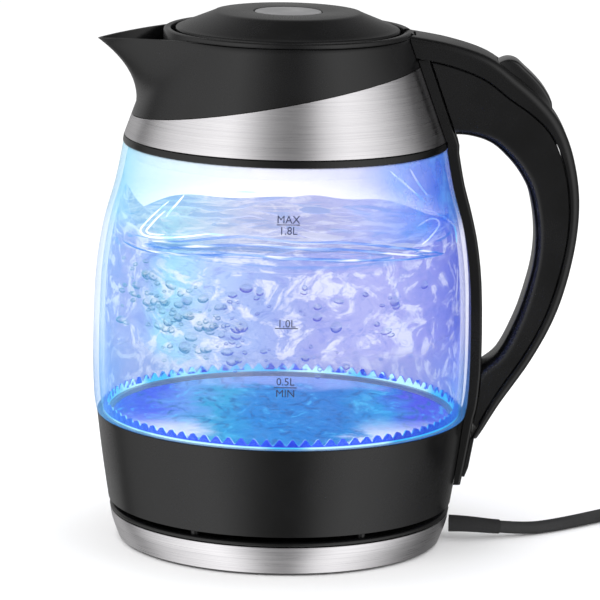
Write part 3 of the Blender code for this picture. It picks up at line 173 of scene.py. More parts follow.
class Value:
    """A socket of a finish that can be used in sums."""

    def __init__(self, finish, socket):
        self.finish = finish
        self.socket = socket

    def math(self, operation, first, second=None):
        inputs = {0: first} if second is None else {0: first, 1: second}
        return self.finish.node("ShaderNodeMath", {"operation": operation}, inputs)

    def __add__(self, other):
        return self.math("ADD", self, other)

    def __radd__(self, other):
        return self.math("ADD", other, self)

    def __sub__(self, other):
        return self.math("SUBTRACT", self, other)

    def __rsub__(self, other):
        return self.math("SUBTRACT", other, self)

    def __mul__(self, other):
        return self.math("MULTIPLY", self, other)

    def __rmul__(self, other):
        return self.math("MULTIPLY", other, self)

    def __truediv__(self, other):
        return self.math("DIVIDE", self, other)

    def __rtruediv__(self, other):
        return self.math("DIVIDE", other, self)

    def __pow__(self, other):
        return self.math("POWER", self, other)


class Finish:
    """A material with its nodes, told in values."""

    def __init__(self, name):
        self.material = bpy.data.materials.new(name)
        self.material.use_nodes = True
        self.tree = self.material.node_tree
        self.shader = self.tree.nodes["Principled BSDF"]
        self.output = self.tree.nodes["Material Output"]

    def feed(self, socket, value):
        if isinstance(value, Value):
            self.tree.links.new(value.socket, socket)
        elif isinstance(value, bpy.types.NodeSocket):
            self.tree.links.new(value, socket)
        else:
            socket.default_value = tone(value) if isinstance(value, str) else value

    def node(self, kind, settings=None, inputs=None, output=0):
        made = self.tree.nodes.new(kind)
        for key, value in (settings or {}).items():
            if key == "stops":
                stops(made.color_ramp, value)
            else:
                setattr(made, key, value)
        for key, value in (inputs or {}).items():
            self.feed(made.inputs[key], value)
        return Value(self, made.outputs[output])

    def set(self, **sockets):
        """Feeds sockets of the main shader, named with _ for spaces."""
        for key, value in sockets.items():
            self.feed(self.shader.inputs[key.replace("_", " ")], value)
        return self

    def glow(self, shade, dimmed, strength):
        """Gives off a shade, and darkens by a share what lamps add to it."""
        base = self.mix(dimmed, shade, grey(0.0))
        return self.set(Base_Color=base, Emission_Color=shade, Emission_Strength=strength)

    def place(self):
        return self.node("ShaderNodeTexCoord", output=3)

    def scaled(self, vector, x, y, z):
        return self.node("ShaderNodeMapping", {}, {"Vector": vector, "Scale": (x, y, z)})

    def axes(self):
        """The three coordinates, with x from the kettle's axis, in millimetres."""
        shifted = self.node(
            "ShaderNodeMapping",
            {},
            {"Vector": self.place(), "Location": (-AXIS_X / MM, 0, 0), "Scale": (1 / MM,) * 3},
        )
        return self.split(shifted)

    def split(self, vector):
        """The three parts of a vector."""
        first = self.node("ShaderNodeSeparateXYZ", {}, {0: vector})
        return [Value(self, socket) for socket in first.socket.node.outputs]

    def noise(self, vector, scale, detail=3.0, rough=0.5, warp=0.0):
        """Cloudy noise. Three scales instead of one stretch it along the axes."""
        if isinstance(scale, tuple):
            vector, scale = self.scaled(vector, *scale), 1.0
        settings = {"noise_dimensions": "3D"}
        inputs = {"Vector": vector, "Scale": scale, "Detail": detail}
        inputs.update(Roughness=rough, Distortion=warp)
        return self.node("ShaderNodeTexNoise", settings, inputs)

    def ramp(self, value, colours_at):
        return self.node("ShaderNodeValToRGB", {"stops": colours_at}, {0: value})

    def mix(self, factor, first, second, how="MIX"):
        settings = {"data_type": "RGBA", "blend_type": how}
        return self.node("ShaderNodeMix", settings, {0: factor, 6: first, 7: second}, output=2)

    def between(self, value, start, end, first=0.0, second=1.0):
        """Value carried from one range to another, smooth at both ends."""
        settings = {"interpolation_type": "SMOOTHSTEP", "clamp": True}
        return self.node("ShaderNodeMapRange", settings, {0: value, 1: start, 2: end, 3: first, 4: second})

    def spread(self, noise, first, second):
        """A noise carried to a range of its own, such as a roughness."""
        return self.between(noise, 0.3, 0.7, first, second)

    def share(self, value, start, end):
        """Value carried evenly from a range to 0 to 1."""
        return self.node("ShaderNodeMapRange", {"clamp": True}, {0: value, 1: start, 2: end})

    def one_math(self, operation, value):
        return self.node("ShaderNodeMath", {"operation": operation}, {0: value})

    def clamped(self, value):
        return self.node("ShaderNodeClamp", {}, {0: value})

    def far_from(self, value, middle):
        """How far a value is from a middle one, either way."""
        return self.one_math("ABSOLUTE", value - middle)

    def bump(self, height, strength, distance):
        inputs = {"Height": height, "Strength": strength, "Distance": distance}
        self.set(Normal=self.node("ShaderNodeBump", {}, inputs))
        return self


def stops(ramp, colours_at):
    while len(ramp.elements) < len(colours_at):
        ramp.elements.new(0.5)
    for element, (position, shade) in zip(ramp.elements, colours_at):
        element.position = position
        element.color = tone(shade) if isinstance(shade, str) else shade


def grey(level):
    return (level, level, level, 1.0)


def moulded(name, dark, light, rough_low, rough_high, grain, depth):
    """Moulded plastic with faint clouds and a fine grain."""
    finish = Finish(name)
    place = finish.place()
    cloud = finish.between(finish.noise(place, 28.0, 4.0), 0.35, 0.65)
    grain_noise = finish.noise(place, grain, 2.0)
    finish.set(
        Base_Color=finish.mix(cloud, dark, light),
        Roughness=finish.spread(grain_noise * 0.6 + cloud * 0.4, rough_low, rough_high),
    )
    return finish.bump(grain_noise, depth, 0.2 * MM)


def black_plastic(name="kettle black plastic"):
    shades = colours()
    finish = moulded(name, shades.plastic, shades.plastic_light, 0.21, 0.28, 2600.0, 0.05)
    return finish.set(Specular_IOR_Level=0.44)


def gloss_plastic():
    finish = moulded("thumb button plastic", "080809", "0d0d0e", 0.14, 0.22, 1800.0, 0.03)
    return finish.set(Coat_Weight=0.35, Coat_Roughness=0.12)


def brushed_steel(name, strokes=(2.0, 2.0, 2600.0), level=1.0):
    """Steel brushed round the kettle: long fine strokes that lie level."""
    finish = Finish(name)
    place = finish.place()
    stroke = finish.noise(finish.scaled(place, *strokes), 2.0, 3.0, 0.55)
    fine = finish.noise(finish.scaled(place, 30.0, 30.0, 2200.0), 2.0, 2.0, 0.6)
    shades = colours()
    mixed = finish.between(stroke * 0.6 + fine * 0.4, 0.30, 0.62)
    finish.set(
        Base_Color=finish.mix(mixed, shades.steel_dark, shades.steel),
        Metallic=1.0,
        Roughness=finish.spread(fine, 0.27, 0.36),
        Anisotropic=0.6,
        Anisotropic_Rotation=0.25,
    )
    return finish.bump(stroke, 0.05 * level, 0.05 * MM)


def cast_metal(name, dark, light, rough, scale=90.0):
    finish = Finish(name)
    place = finish.place()
    cloud = finish.noise(place, scale, 5.0)
    fine = finish.noise(place, 1500.0, 2.0)
    finish.set(
        Base_Color=finish.mix(finish.between(cloud, 0.35, 0.65), dark, light),
        Metallic=1.0,
        Roughness=finish.spread(fine, rough, rough + 0.12),
    )
    return finish.bump(fine, 0.08, 0.1 * MM)


def rubber(name, dark, light, scale=900.0):
    finish = moulded(name, dark, light, 0.55, 0.72, scale, 0.12)
    return finish.set(Specular_IOR_Level=0.35)


def circuit_board():
    finish = Finish("lamp board")
    x, y, _ = finish.axes()
    angle = finish.node("ShaderNodeMath", {"operation": "ARCTAN2"}, {0: y, 1: x})
    lamps = finish.one_math("SINE", angle * 24.0)
    track = finish.noise(finish.place(), 420.0, 1.0)
    green = finish.mix(finish.between(track, 0.45, 0.55), "0b3d22", "14582f")
    mask = finish.between(lamps, 0.93, 0.97)
    return finish.set(
        Base_Color=finish.mix(mask, green, "f2f6ff"),
        Emission_Color=finish.mix(mask, grey(0.0), "5aa0ff"),
        Roughness=finish.spread(track, 0.35, 0.5),
        Emission_Strength=1.0,
    )


def lit_glass():
    """Clear jug glass whose colour is painted light of the lamps under it, given off as a glow."""
    finish = Finish("jug glass")
    x, _, z = finish.axes()
    drift = finish.noise(finish.place(), 16.0, 2.0)
    side = finish.share(x + (drift - 0.5) * 26.0, -80.0, 80.0)
    # Painted lamp light across the glass: cyan at the left, lavender in the middle, blue at the right.
    painted_lamp_light = finish.ramp(side, [
        (0.0, "66b8f0"), (0.08, "82dcf8"), (0.24, "ccf2ff"), (0.42, "eae9ff"), (0.64, "c9cdf8"),
        (0.80, "7f9cee"), (0.92, "3f68e0"), (1.0, "2f52d8"),
    ])
    facing = finish.node("ShaderNodeLayerWeight", {}, {"Blend": 0.34}, output=1)
    above = finish.between(z, 134.0, 146.0)
    below = finish.between(z, 100.0, 62.0)
    right = finish.between(side, 0.56, 0.95)
    cloud = finish.between(finish.noise(finish.place(), 70.0, 4.0, 0.6), 0.35, 0.65)
    # More painted lamp light: bluer low down near the lamps, and paler blue clouds at the top right.
    painted_lamp_light = finish.mix(below * 0.75, painted_lamp_light, "4fa8ee")
    painted_lamp_light = finish.mix(above * right * cloud * 0.5, painted_lamp_light, "6fb8f4")
    cover = facing**2.0 * (0.46 + below * 0.34) + 0.03
    return finish.set(
        Base_Color=painted_lamp_light,
        Alpha=finish.clamped(cover + above * 0.14 + above * right * (0.26 + cloud * 0.16)),
        Roughness=finish.spread(drift, 0.03, 0.06),
        Emission_Color=painted_lamp_light,
        Emission_Strength=0.16, IOR=1.47, Specular_IOR_Level=0.5,
    )


def lit_water():
    """Boiling water lit from below, all in painted lamp light given off as a glow: lavender with pale
    clouds, cyan at the spout, clear at the foot.
    """
    finish = Finish("lit water")
    x, y, z = finish.axes()
    place = finish.place()
    swirl = finish.noise(place, (26.0, 26.0, 34.0), 5.0, 0.6, 0.8)
    churn = finish.noise(place, (62.0, 62.0, 92.0), 5.0, 0.62, 1.4)
    veins = finish.noise(place, (85.0, 85.0, 130.0), 3.0, 0.55, 1.8)
    # The colours across, the pale and deep clouds and the veins are painted lamp light.
    across = finish.share(x + (swirl - 0.5) * 20.0, -80.0, 80.0)
    wall = finish.ramp(across, [
        (0.0, "8088dc"), (0.08, "a2a4e4"), (0.15, "98b0e8"), (0.20, "98d6f2"), (0.30, "aac4ee"),
        (0.44, "98aee6"), (0.58, "9fa6e2"), (0.74, "aeb0e8"), (0.87, "9a9ce4"), (1.0, "6470dc"),
    ])
    pale = finish.between(churn, 0.49, 0.62)
    deep = finish.between(churn, 0.45, 0.30)
    vein = finish.between(finish.far_from(veins, 0.5), 0.028, 0.004)
    body = finish.mix(pale * 0.74, wall, "eef1fe")
    body = finish.mix(deep * 0.55, body, "7484dc")
    body = finish.mix(vein * 0.32, body, "4b76d2")
    # On the surface: blue streaks of painted lamp light and white streaks of painted highlight.
    surface = finish.between(z, 126.0, 136.0)
    glint_streak = finish.noise(place, (9.0, 34.0, 330.0), 4.0, 0.6, 0.9)
    body = finish.mix(surface * finish.between(glint_streak, 0.54, 0.62), body, "4f90e2")
    body = finish.mix(surface * finish.between(glint_streak, 0.46, 0.38) * 0.8, body, "f2f6ff")
    foot = high("heating_plate").z / MM
    front_foot = finish.between(z + (swirl - 0.5) * 16.0, 97.0, 85.0) * finish.between(y, 16.0, -18.0)
    low_zone = finish.clamped(front_foot + finish.between(z, foot + 2.0, foot + 1.0))
    finish.glow(body, 0.5, 0.55)
    finish.set(Alpha=0.88 - low_zone * 0.84, Roughness=finish.spread(swirl, 0.05, 0.12), IOR=1.33)
    return finish.bump(churn, 0.3, 1.2 * MM)


def lit_plate():
    """Steel heating plate under blue lamps, seen through the water; its blues are painted lamp light, given
    off as a glow.
    """
    finish = Finish("lit heating plate")
    x, y, _ = finish.axes()
    place = finish.place()
    wash = finish.noise(place, (34.0, 34.0, 34.0), 5.0, 0.62, 0.9)
    rough = finish.noise(place, (130.0, 70.0, 130.0), 4.0, 0.65, 1.2)
    across = finish.share(x + (wash - 0.5) * 46.0, -72.0, 72.0)
    blue = finish.ramp(across, [
        (0.0, "2b2fd2"), (0.10, "3a3fd6"), (0.19, "5f8fd8"), (0.30, "1a9cc6"), (0.42, "0680c8"),
        (0.66, "0672c0"), (0.80, "1590cc"), (0.90, "4a45d2"), (1.0, "5a32cc"),
    ])
    blue = finish.mix(finish.between(rough, 0.48, 0.38) * 0.7, blue, "04589e")
    blue = finish.mix(finish.between(rough, 0.56, 0.66) * 0.5, blue, "4fc6ea")
    # Painted highlights: pale patches at the front left and front right, and a paler back, also painted
    # lamp light.
    front = finish.between(y + (wash - 0.5) * 46.0, 4.0, -40.0)
    edge = finish.between(across, 0.34, 0.22) + finish.between(across, 0.70, 0.78)
    blue = finish.mix(front * edge * 0.85, blue, "e6e9fc")
    back = finish.between(y + (wash - 0.5) * 60.0, 48.0, 72.0)
    blue = finish.mix(back * 0.6, blue, "a4b0ee")
    finish.glow(blue, 0.6, 0.95)
    finish.set(Roughness=finish.spread(wash, 0.42, 0.56), Specular_IOR_Level=0.02)
    return finish.bump(rough, 0.2, 0.6 * MM)


def lit_teeth():
    """Deep blue prisms of the light ring, with a pale cyan band behind them and along their foot."""
    finish = Finish("light ring")
    x, y, z = finish.axes()
    reach = finish.one_math("SQRT", x * x + y * y)
    outer = radius_of("light_guide_ring") / MM
    inside = finish.between(reach, outer - 1.5, outer - 1.9)
    foot = low("light_guide_ring").z / MM
    line = finish.between(z, foot + 0.9, foot + 0.5)
    sparkle = finish.noise(finish.place(), 240.0, 1.0)
    wide = finish.noise(finish.place(), 26.0, 2.0)
    deep = finish.mix(finish.between(wide, 0.4, 0.6), "0a18b8", "1c48e0")
    bright = finish.mix(finish.between(wide, 0.42, 0.6), "38b8f4", "c4f8ff")
    mask = finish.clamped(inside * finish.between(sparkle, 0.36, 0.52) + line)
    shade = finish.mix(mask, deep, bright)
    return finish.glow(shade, 0.6, 0.95).set(Roughness=finish.spread(wide, 0.1, 0.2))


def bubble_skin():
    """Thin bubble: clear in the middle, with a rim that is pale above, a painted highlight, and blue or
    teal below, a painted shade.
    """
    finish = Finish("bubble")
    x, _, _ = finish.axes()
    facing = finish.node("ShaderNodeLayerWeight", {}, {"Blend": 0.5}, output=1)
    _, _, upward = finish.split(finish.node("ShaderNodeNewGeometry", output=1))
    # Painted shade on the rim's downward side and a painted highlight on its upward side, both given off as
    # a glow.
    below = finish.between(upward, 0.3, -0.1)
    tints = finish.noise(finish.place(), 60.0, 1.0)
    rim = finish.mix(finish.between(tints, 0.42, 0.58), "1440c4", "3634c0")
    rim = finish.mix(finish.between(x, -18.0, -32.0), rim, "0474ae")
    shade = finish.mix(below, "c8ecff", rim)
    finish.glow(shade, 0.85, 0.85)
    return finish.set(
        Alpha=finish.clamped(facing**0.8 * (0.25 + below * 1.1) + 0.04),
        Roughness=finish.spread(tints, 0.03, 0.08),
        Specular_IOR_Level=0.2,
    )


def splash_skin():
    """Bright folds of water on the glass, white to cyan: a painted glow with painted highlights."""
    finish = Finish("splash")
    glint_streak = finish.noise(finish.place(), (60.0, 60.0, 150.0), 3.0)
    # White painted highlights running into cyan painted lamp light, given off as a glow.
    shade = finish.mix(finish.between(glint_streak, 0.45, 0.62), "ffffff", "8fe4f8")
    finish.set(Base_Color=shade, Emission_Color=shade, Emission_Strength=0.6)
    return finish.set(
        Alpha=finish.between(glint_streak, 0.25, 0.6, 0.6, 0.95), Roughness=finish.spread(glint_streak, 0.05, 0.12)
    )


def ripple_skin():
    """Long ripples on the water, blue and white along them by a noise: blue painted lamp light and white
    painted highlights, given off as a glow.
    """
    finish = Finish("ripple")
    glint_streak = finish.noise(finish.place(), (26.0, 26.0, 420.0), 3.0)
    # Painted light: blue streaks, and white painted highlights on the crests.
    shade = finish.mix(finish.between(glint_streak, 0.44, 0.50), "3f7fdc", "8fb4f0")
    shade = finish.mix(finish.between(glint_streak, 0.52, 0.58), shade, "f4f8ff")
    finish.glow(shade, 0.5, 0.6)
    return finish.set(
        Alpha=finish.between(glint_streak, 0.25, 0.6, 0.7, 0.9), Roughness=finish.spread(glint_streak, 0.05, 0.12)
    )


def clear_seal():
    """Clear silicone, hardly seen through the glass."""
    finish = Finish("clear seal")
    cloud = finish.noise(finish.place(), 200.0, 2.0)
    return finish.set(
        Base_Color=finish.mix(cloud, "e6eefc", "f4f8ff"),
        Alpha=finish.spread(cloud, 0.06, 0.12),
        Roughness=finish.spread(cloud, 0.3, 0.4),
    )


def print_ink():
    finish = Finish("level print")
    speck = finish.noise(finish.place(), 3000.0, 2.0)
    shade = finish.mix(finish.between(speck, 0.4, 0.6), colours().mark, "343d5c")
    return finish.set(Base_Color=shade, Roughness=finish.spread(speck, 0.4, 0.55))


def spun_silver():
    """Lid disc: satin grey with fine rings."""
    finish = Finish("lid disc")
    x, y, _ = finish.axes()
    reach = finish.one_math("SQRT", x * x + y * y)
    rings = finish.one_math("SINE", reach * 14.0)
    cloud = finish.noise(finish.place(), 120.0, 3.0)
    blend_in = finish.between(cloud * 0.7 + rings * 0.15, 0.2, 0.6)
    finish.set(
        Base_Color=finish.mix(blend_in, "9d9d9f", "bdbdbe"),
        Metallic=0.55,
        Roughness=finish.spread(cloud, 0.38, 0.5),
    )
    return finish.bump(rings, 0.05, 0.05 * MM)


FINISHES = {}


def finish_of(name):
    """Each finish is made once."""
    makers = {
        "black": black_plastic,
        "gloss": gloss_plastic,
        "band": lambda: brushed_steel("band steel"),
        "trim": lambda: brushed_steel("trim steel", (2.0, 2.0, 2200.0), 0.8),
        "glass": lit_glass,
        "water": lit_water,
        "plate": lit_plate,
        "teeth": lit_teeth,
        "bubble": bubble_skin,
        "splash": splash_skin,
        "ripple": ripple_skin,
        "clear": clear_seal,
        "ink": print_ink,
        "disc": spun_silver,
        "board": circuit_board,
        "cord": lambda: rubber("cord jacket", "2b2b2c", "363637", 700.0),
        "rubber": lambda: rubber("soft black rubber", "1d1d1e", "29292a"),
        "silicone": lambda: rubber("grey silicone", "9a9ca0", "b3b5b8", 500.0),
        "brass": lambda: cast_metal("contact brass", "a8843c", "d0ad62", 0.25),
        "inner": lambda: cast_metal("inner metal", "8f9092", "b4b5b8", 0.3),
        "cream": lambda: rubber("cream plastic", "c9c2ab", "ddd8c6", 600.0),
        "silver": lambda: rubber("silver plastic", "8f8f91", "a5a5a8", 1200.0),
    }
    if name not in FINISHES:
        FINISHES[name] = makers[name]()
    return FINISHES[name].material


# ---------------------------------------------------------------- modelling


def none_selected():
    bpy.ops.object.select_all(action="DESELECT")


def alone(piece):
    """Leaves one object selected and active."""
    none_selected()
    piece.select_set(True)
    bpy.context.view_layer.objects.active = piece


def placed():
    """Carries the selected object's place, turn and size into its mesh."""
    bpy.ops.object.transform_apply(location=True, rotation=True, scale=True)


def all_edited():
    """Opens the active object's mesh with all of it selected."""
    bpy.ops.object.mode_set(mode="EDIT")
    bpy.ops.mesh.select_all(action="SELECT")


def settled(piece, name, nodes=(), finish="black", body="kettle", angle=35):
    """Closes a piece: place in its mesh, shading, finish, body, slot and the nodes it stands for."""
    alone(piece)
    placed()
    piece.name = name
    piece.data.name = name
    bpy.ops.object.shade_smooth_by_angle(angle=math.radians(angle))
    piece.data.materials.clear()
    piece.data.materials.append(finish_of(finish))
    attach(piece, body)
    if nodes:
        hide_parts(*nodes)
    return piece


def tidy_mesh():
    """In edit mode: merges doubles and turns all faces outwards."""
    bpy.ops.mesh.select_all(action="SELECT")
    bpy.ops.mesh.remove_doubles(threshold=MERGE)
    bpy.ops.mesh.normals_make_consistent(inside=False)
    bpy.ops.object.mode_set(mode="OBJECT")
    return bpy.context.object


def near(radius, height, *offsets):
    """Rows near a radius and a height, each so many millimetres out and up from them."""
    return [(radius + out * MM, height + up * MM) for out, up in offsets]


def turned(rows, steps=ROUND, centre=(0.0, 0.0)):
    """A circle drawn on from row to row, rows being (radius, height) about the kettle's axis."""
    none_selected()
    x, y = AXIS_X + centre[0], centre[1]
    radius, height = rows[0]
    bpy.ops.mesh.primitive_circle_add(vertices=steps, radius=max(radius, POLE), location=(x, y, height))
    bpy.ops.object.mode_set(mode="EDIT")
    for (r1, z1), (r2, z2) in zip(rows, rows[1:]):
        bpy.ops.mesh.extrude_region_move(TRANSFORM_OT_translate={"value": (0, 0, z2 - z1)})
        share = max(r2, POLE) / max(r1, POLE)
        bpy.ops.transform.resize(value=(share, share, 1), center_override=(x, y, z2))
    return tidy_mesh()


def draped(loops, capped=True):
    """A grid laid over closed loops of points, its two ends drawn in to their middles."""
    if capped:
        ends = [sum(loop, Vector()) / len(loop) for loop in (loops[0], loops[-1])]
        loops = [[ends[0]] * len(loops[0])] + loops + [[ends[1]] * len(loops[0])]
    across, along = len(loops[0]), len(loops) - 1
    none_selected()
    bpy.ops.mesh.primitive_grid_add(x_subdivisions=across, y_subdivisions=along, size=2)
    for vert in bpy.context.object.data.vertices:
        i = round((vert.co.x + 1) / 2 * across) % across
        j = round((vert.co.y + 1) / 2 * along)
        vert.co = loops[j][i]
    bpy.ops.object.mode_set(mode="EDIT")
    return tidy_mesh()


def block(size, centre):
    """A cube at its size and place, to be shaped or to cut with."""
    none_selected()
    bpy.ops.mesh.primitive_cube_add(size=1, location=(AXIS_X + centre[0], centre[1], centre[2]))
    piece = bpy.context.object
    bpy.ops.transform.resize(value=size)
    placed()
    return piece


def modified(piece, kind, **settings):
    """Adds a modifier, sets it and applies it."""
    alone(piece)
    modifier = piece.modifiers.new(kind.lower(), kind)
    for key, value in settings.items():
        setattr(modifier, key, value)
    bpy.ops.object.modifier_apply(modifier=modifier.name)
    return piece


def cut_by(piece, cutter):
    modified(piece, "BOOLEAN", object=cutter, operation="DIFFERENCE", solver="EXACT")
    bpy.data.objects.remove(cutter)
    return piece


def softened(piece, width, segments=2, angle=32):
    limit = {"limit_method": "ANGLE", "angle_limit": math.radians(angle)}
    return modified(piece, "BEVEL", width=width, segments=segments, **limit)


def joined(pieces):
    alone(pieces[0])
    for piece in pieces[1:]:
        piece.select_set(True)
    bpy.ops.object.join()
    return bpy.context.object


def curve_at(t, a, b, c, d):
    """Catmull-Rom value between b and c."""
    square, cube = 2 * a - 5 * b + 4 * c - d, 3 * b - a - 3 * c + d
    return 0.5 * (2 * b + (c - a) * t + square * t**2 + cube * t**3)


def smooth_rows(rows, steps):
    """Catmull-Rom rows through the given rows."""
    rows = [tuple(row) for row in rows]
    ends = [rows[0]] + rows + [rows[-1]]
    smoothed = []
    for before, here, there, after in zip(ends, ends[1:], ends[2:], ends[3:]):
        for k in range(steps):
            smoothed.append(tuple(curve_at(k / steps, *four) for four in zip(before, here, there, after)))
    return smoothed + [rows[-1]]


def rounded(rows, radius, steps=3):
    """Rows with each corner that turns sharply cut to a small arc."""
    made = [rows[0]]
    for before, here, after in zip(rows, rows[1:], rows[2:]):
        a, b, c = (Vector(p) for p in (before, here, after))
        back, on = a - b, c - b
        if back.length < 1e-7 or on.length < 1e-7 or back.angle(on) > math.radians(150):
            made.append(here)
            continue
        reach = min(radius, back.length / 2.2, on.length / 2.2)
        start, end = b + back.normalized() * reach, b + on.normalized() * reach
        for k in range(steps + 1):
            t = k / steps
            made.append(tuple(start * (1 - t) ** 2 + b * 2 * t * (1 - t) + end * t**2))
    return made + [rows[-1]]


def band_radius(z):
    return BAND_R - SLOPE * (z - BAND_FOOT)


# ---------------------------------------------------------------- cord

CORD_ROUTE = (
    (0.0953, 0.0027, 0.00455), (0.1005, 0.0042, 0.00395), (0.1060, 0.0063, 0.00335),
    (0.1115, 0.0091, 0.0029), (0.1165, 0.0122, 0.0028), (0.1215, 0.0158, 0.0028),
    (0.1265, 0.0198, 0.0028), (0.1315, 0.0241, 0.0028), (0.1365, 0.0286, 0.0028),
    (0.1415, 0.0331, 0.0028), (0.1450, 0.0361, 0.0028), (0.1478, 0.0385, 0.0028),
)
CORD_TAIL = (
    (0.2241, 0.0316, 0.0073), (0.2260, 0.0293, 0.0069), (0.2279, 0.0270, 0.0067),
    (0.2297, 0.0249, 0.0066),
)
CORD_EXIT = (0.0733, 0.0, 0.0064)
RELIEF_END = (0.0950, 0.0026, 0.0046)
COIL_CENTRE = (0.1855, 0.0268)
COIL_INNER_R = 27.25 * MM
COIL_OUTER_R = 32.75 * MM
COIL_LOW = 2.8 * MM
COIL_HIGH = 8.3 * MM
COIL_START = math.radians(129.7)
COIL_TURNS = 3.25
PLUG_START = (0.2299, 0.02465, 0.00655)
PLUG_HEADING = math.radians(-50)


def coil_points():
    """The wound part, clockwise from above: outside, in, up, and out again."""
    stages = (
        (0.0, COIL_OUTER_R, COIL_LOW), (0.86, COIL_OUTER_R, COIL_LOW), (1.0, COIL_INNER_R, COIL_LOW),
        (1.84, COIL_INNER_R, COIL_LOW), (2.04, COIL_INNER_R, COIL_HIGH),
        (2.86, COIL_INNER_R, COIL_HIGH), (3.02, COIL_OUTER_R, COIL_HIGH),
        (COIL_TURNS, COIL_OUTER_R, COIL_HIGH),
    )
    points = []
    per_turn = 36
    for k in range(round(COIL_TURNS * per_turn) + 1):
        turn = k / per_turn
        for (t1, r1, z1), (t2, r2, z2) in zip(stages, stages[1:]):
            if t1 <= turn <= t2:
                share = (turn - t1) / (t2 - t1)
                share = share * share * (3 - 2 * share)
                radius, height = r1 + (r2 - r1) * share, z1 + (z2 - z1) * share
        angle = COIL_START - turn * 2 * math.pi
        x, y = COIL_CENTRE
        points.append((x + radius * math.cos(angle), y + radius * math.sin(angle), height))
    return points


def relief_points():
    """Middle line of the strain relief, from the base's wall to where the cord shows."""
    start, end = Vector(CORD_EXIT), Vector(RELIEF_END)
    heading = (Vector(CORD_ROUTE[1]) - Vector(CORD_ROUTE[0])).normalized()
    first, second = start + Vector((10 * MM, 0, 0)), end - heading * 8 * MM
    points, count = [], 14
    for k in range(count + 1):
        t = k / count
        near_half = start * (1 - t) ** 3 + first * 3 * t * (1 - t) ** 2
        points.append(near_half + second * 3 * t**2 * (1 - t) + end * t**3)
    return points


def cord_points():
    lead = smooth_rows(CORD_ROUTE, 4)[:-1]
    start = [tuple(p) for p in relief_points()[:-1]]
    inner = coil_points()
    out = smooth_rows(CORD_TAIL, 3)
    joint = smooth_rows([CORD_ROUTE[-2], CORD_ROUTE[-1], inner[2], inner[3]], 5)[5:10]
    leave = smooth_rows([inner[-3], inner[-2], out[1], out[2]], 5)[6:10]
    line = start + lead + joint + inner[2:-2] + leave + out[1:]
    return [Vector((AXIS_X + x, y, z)) for x, y, z in line]


def rings_along(points, radii, sides=24):
    """Closed loops of points round a line, one for each of its points."""
    loops = []
    for k, (point, radius) in enumerate(zip(points, radii)):
        before, after = points[max(k - 1, 0)], points[min(k + 1, len(points) - 1)]
        heading = (after - before).normalized()
        side = Vector((-heading.y, heading.x, 0)).normalized()
        up = heading.cross(side)
        turns = [2 * math.pi * i / sides for i in range(sides)]
        loops.append([point + side * radius * math.cos(t) + up * radius * math.sin(t) for t in turns])
    return loops


def make_relief():
    """Smooth tapered sleeve, wide at the base and bending down to the cord."""
    line = [Vector((AXIS_X + p.x, p.y, p.z)) for p in relief_points()]
    dense = [Vector(p) for p in smooth_rows([tuple(p) for p in line], 5)]
    wide, thin = 3.7 * MM, 3.1 * MM
    radii = []
    for k in range(len(dense)):
        share = k / (len(dense) - 1)
        radii.append(wide + (thin - wide) * share**0.7)
    return draped(rings_along(dense, radii))


def make_plug():
    """Flat plug lying on its side: ribbed neck, swelling into a grip with rounded edges."""
    heading = Vector((math.cos(PLUG_HEADING), math.sin(PLUG_HEADING), 0))
    side = Vector((-heading.y, heading.x, 0))
    start = Vector((AXIS_X + PLUG_START[0], PLUG_START[1], PLUG_START[2]))
    rows = [(0.0, 3.0, 3.0), (1.0, 3.2, 3.1), (2.0, 3.2, 3.1)]
    for k in range(4):
        begin = 2.4 + k * 2.8
        for on, half_w, half_h in ((0, 2.9, 2.8), (0.9, 2.9, 2.8), (1.2, 3.5, 3.4), (2.4, 3.6, 3.45)):
            rows.append((begin + on, half_w, half_h))
    rows += [
        (14.0, 4.0, 3.6), (15.5, 5.6, 4.6), (17.5, 7.8, 5.8), (19.5, 9.2, 6.35), (22.0, 9.4, 6.3),
        (26.0, 8.9, 5.7), (30.0, 8.9, 5.7), (33.0, 9.4, 6.3), (36.2, 9.5, 6.45), (37.4, 9.1, 6.1),
        (38.0, 8.3, 5.4),
    ]
    loops = []
    for along, half_w, half_h in rows:
        loop = []
        for i in range(32):
            t = 2 * math.pi * i / 32
            power = 0.55 if along > 16 else 1.0
            c, s = math.cos(t), math.sin(t)
            w = math.copysign(abs(c) ** power, c) * half_w * MM
            h = math.copysign(abs(s) ** power, s) * half_h * MM
            loop.append(start + heading * along * MM + side * w + Vector((0, 0, h)))
        loops.append(loop)
    return draped(loops)


def make_cord():
    points = cord_points()
    curve = bpy.data.curves.new("power_cord", "CURVE")
    curve.dimensions = "3D"
    curve.bevel_depth = sizes().cord_diameter / 2
    curve.bevel_resolution = 4
    curve.use_fill_caps = True
    spline = curve.splines.new("POLY")
    spline.points.add(len(points) - 1)
    for knot, point in zip(spline.points, points):
        knot.co = (*point, 1)
    spline.use_smooth = True
    cord = bpy.data.objects.new("power_cord", curve)
    bpy.context.scene.collection.objects.link(cord)
    curve.materials.append(finish_of("cord"))
    return cord, points


# ---------------------------------------------------------------- operators


class PieceOperator:
    """What all the builders share: execute makes the pieces and an error stops the script."""

    bl_options = {"REGISTER", "UNDO"}

    def execute(self, context):
        self.build()
        return {"FINISHED"}


class KETTLE_OT_stage(PieceOperator, bpy.types.Operator):
    """Sets up the camera, the floor, the lamps and the sky"""

    bl_idname = "kettle.stage"
    bl_label = "Stage"

    def build(self):
        make_camera()
        make_floor()
        make_lamps()
        make_sky()


CAMERA_TARGET = (AXIS_X + 7.3 * MM, 0, 103.3 * MM)
CAMERA_DISTANCE = 1.708
CAMERA_RISE = math.radians(11.33)
CAMERA_ROLL = math.radians(1.11)


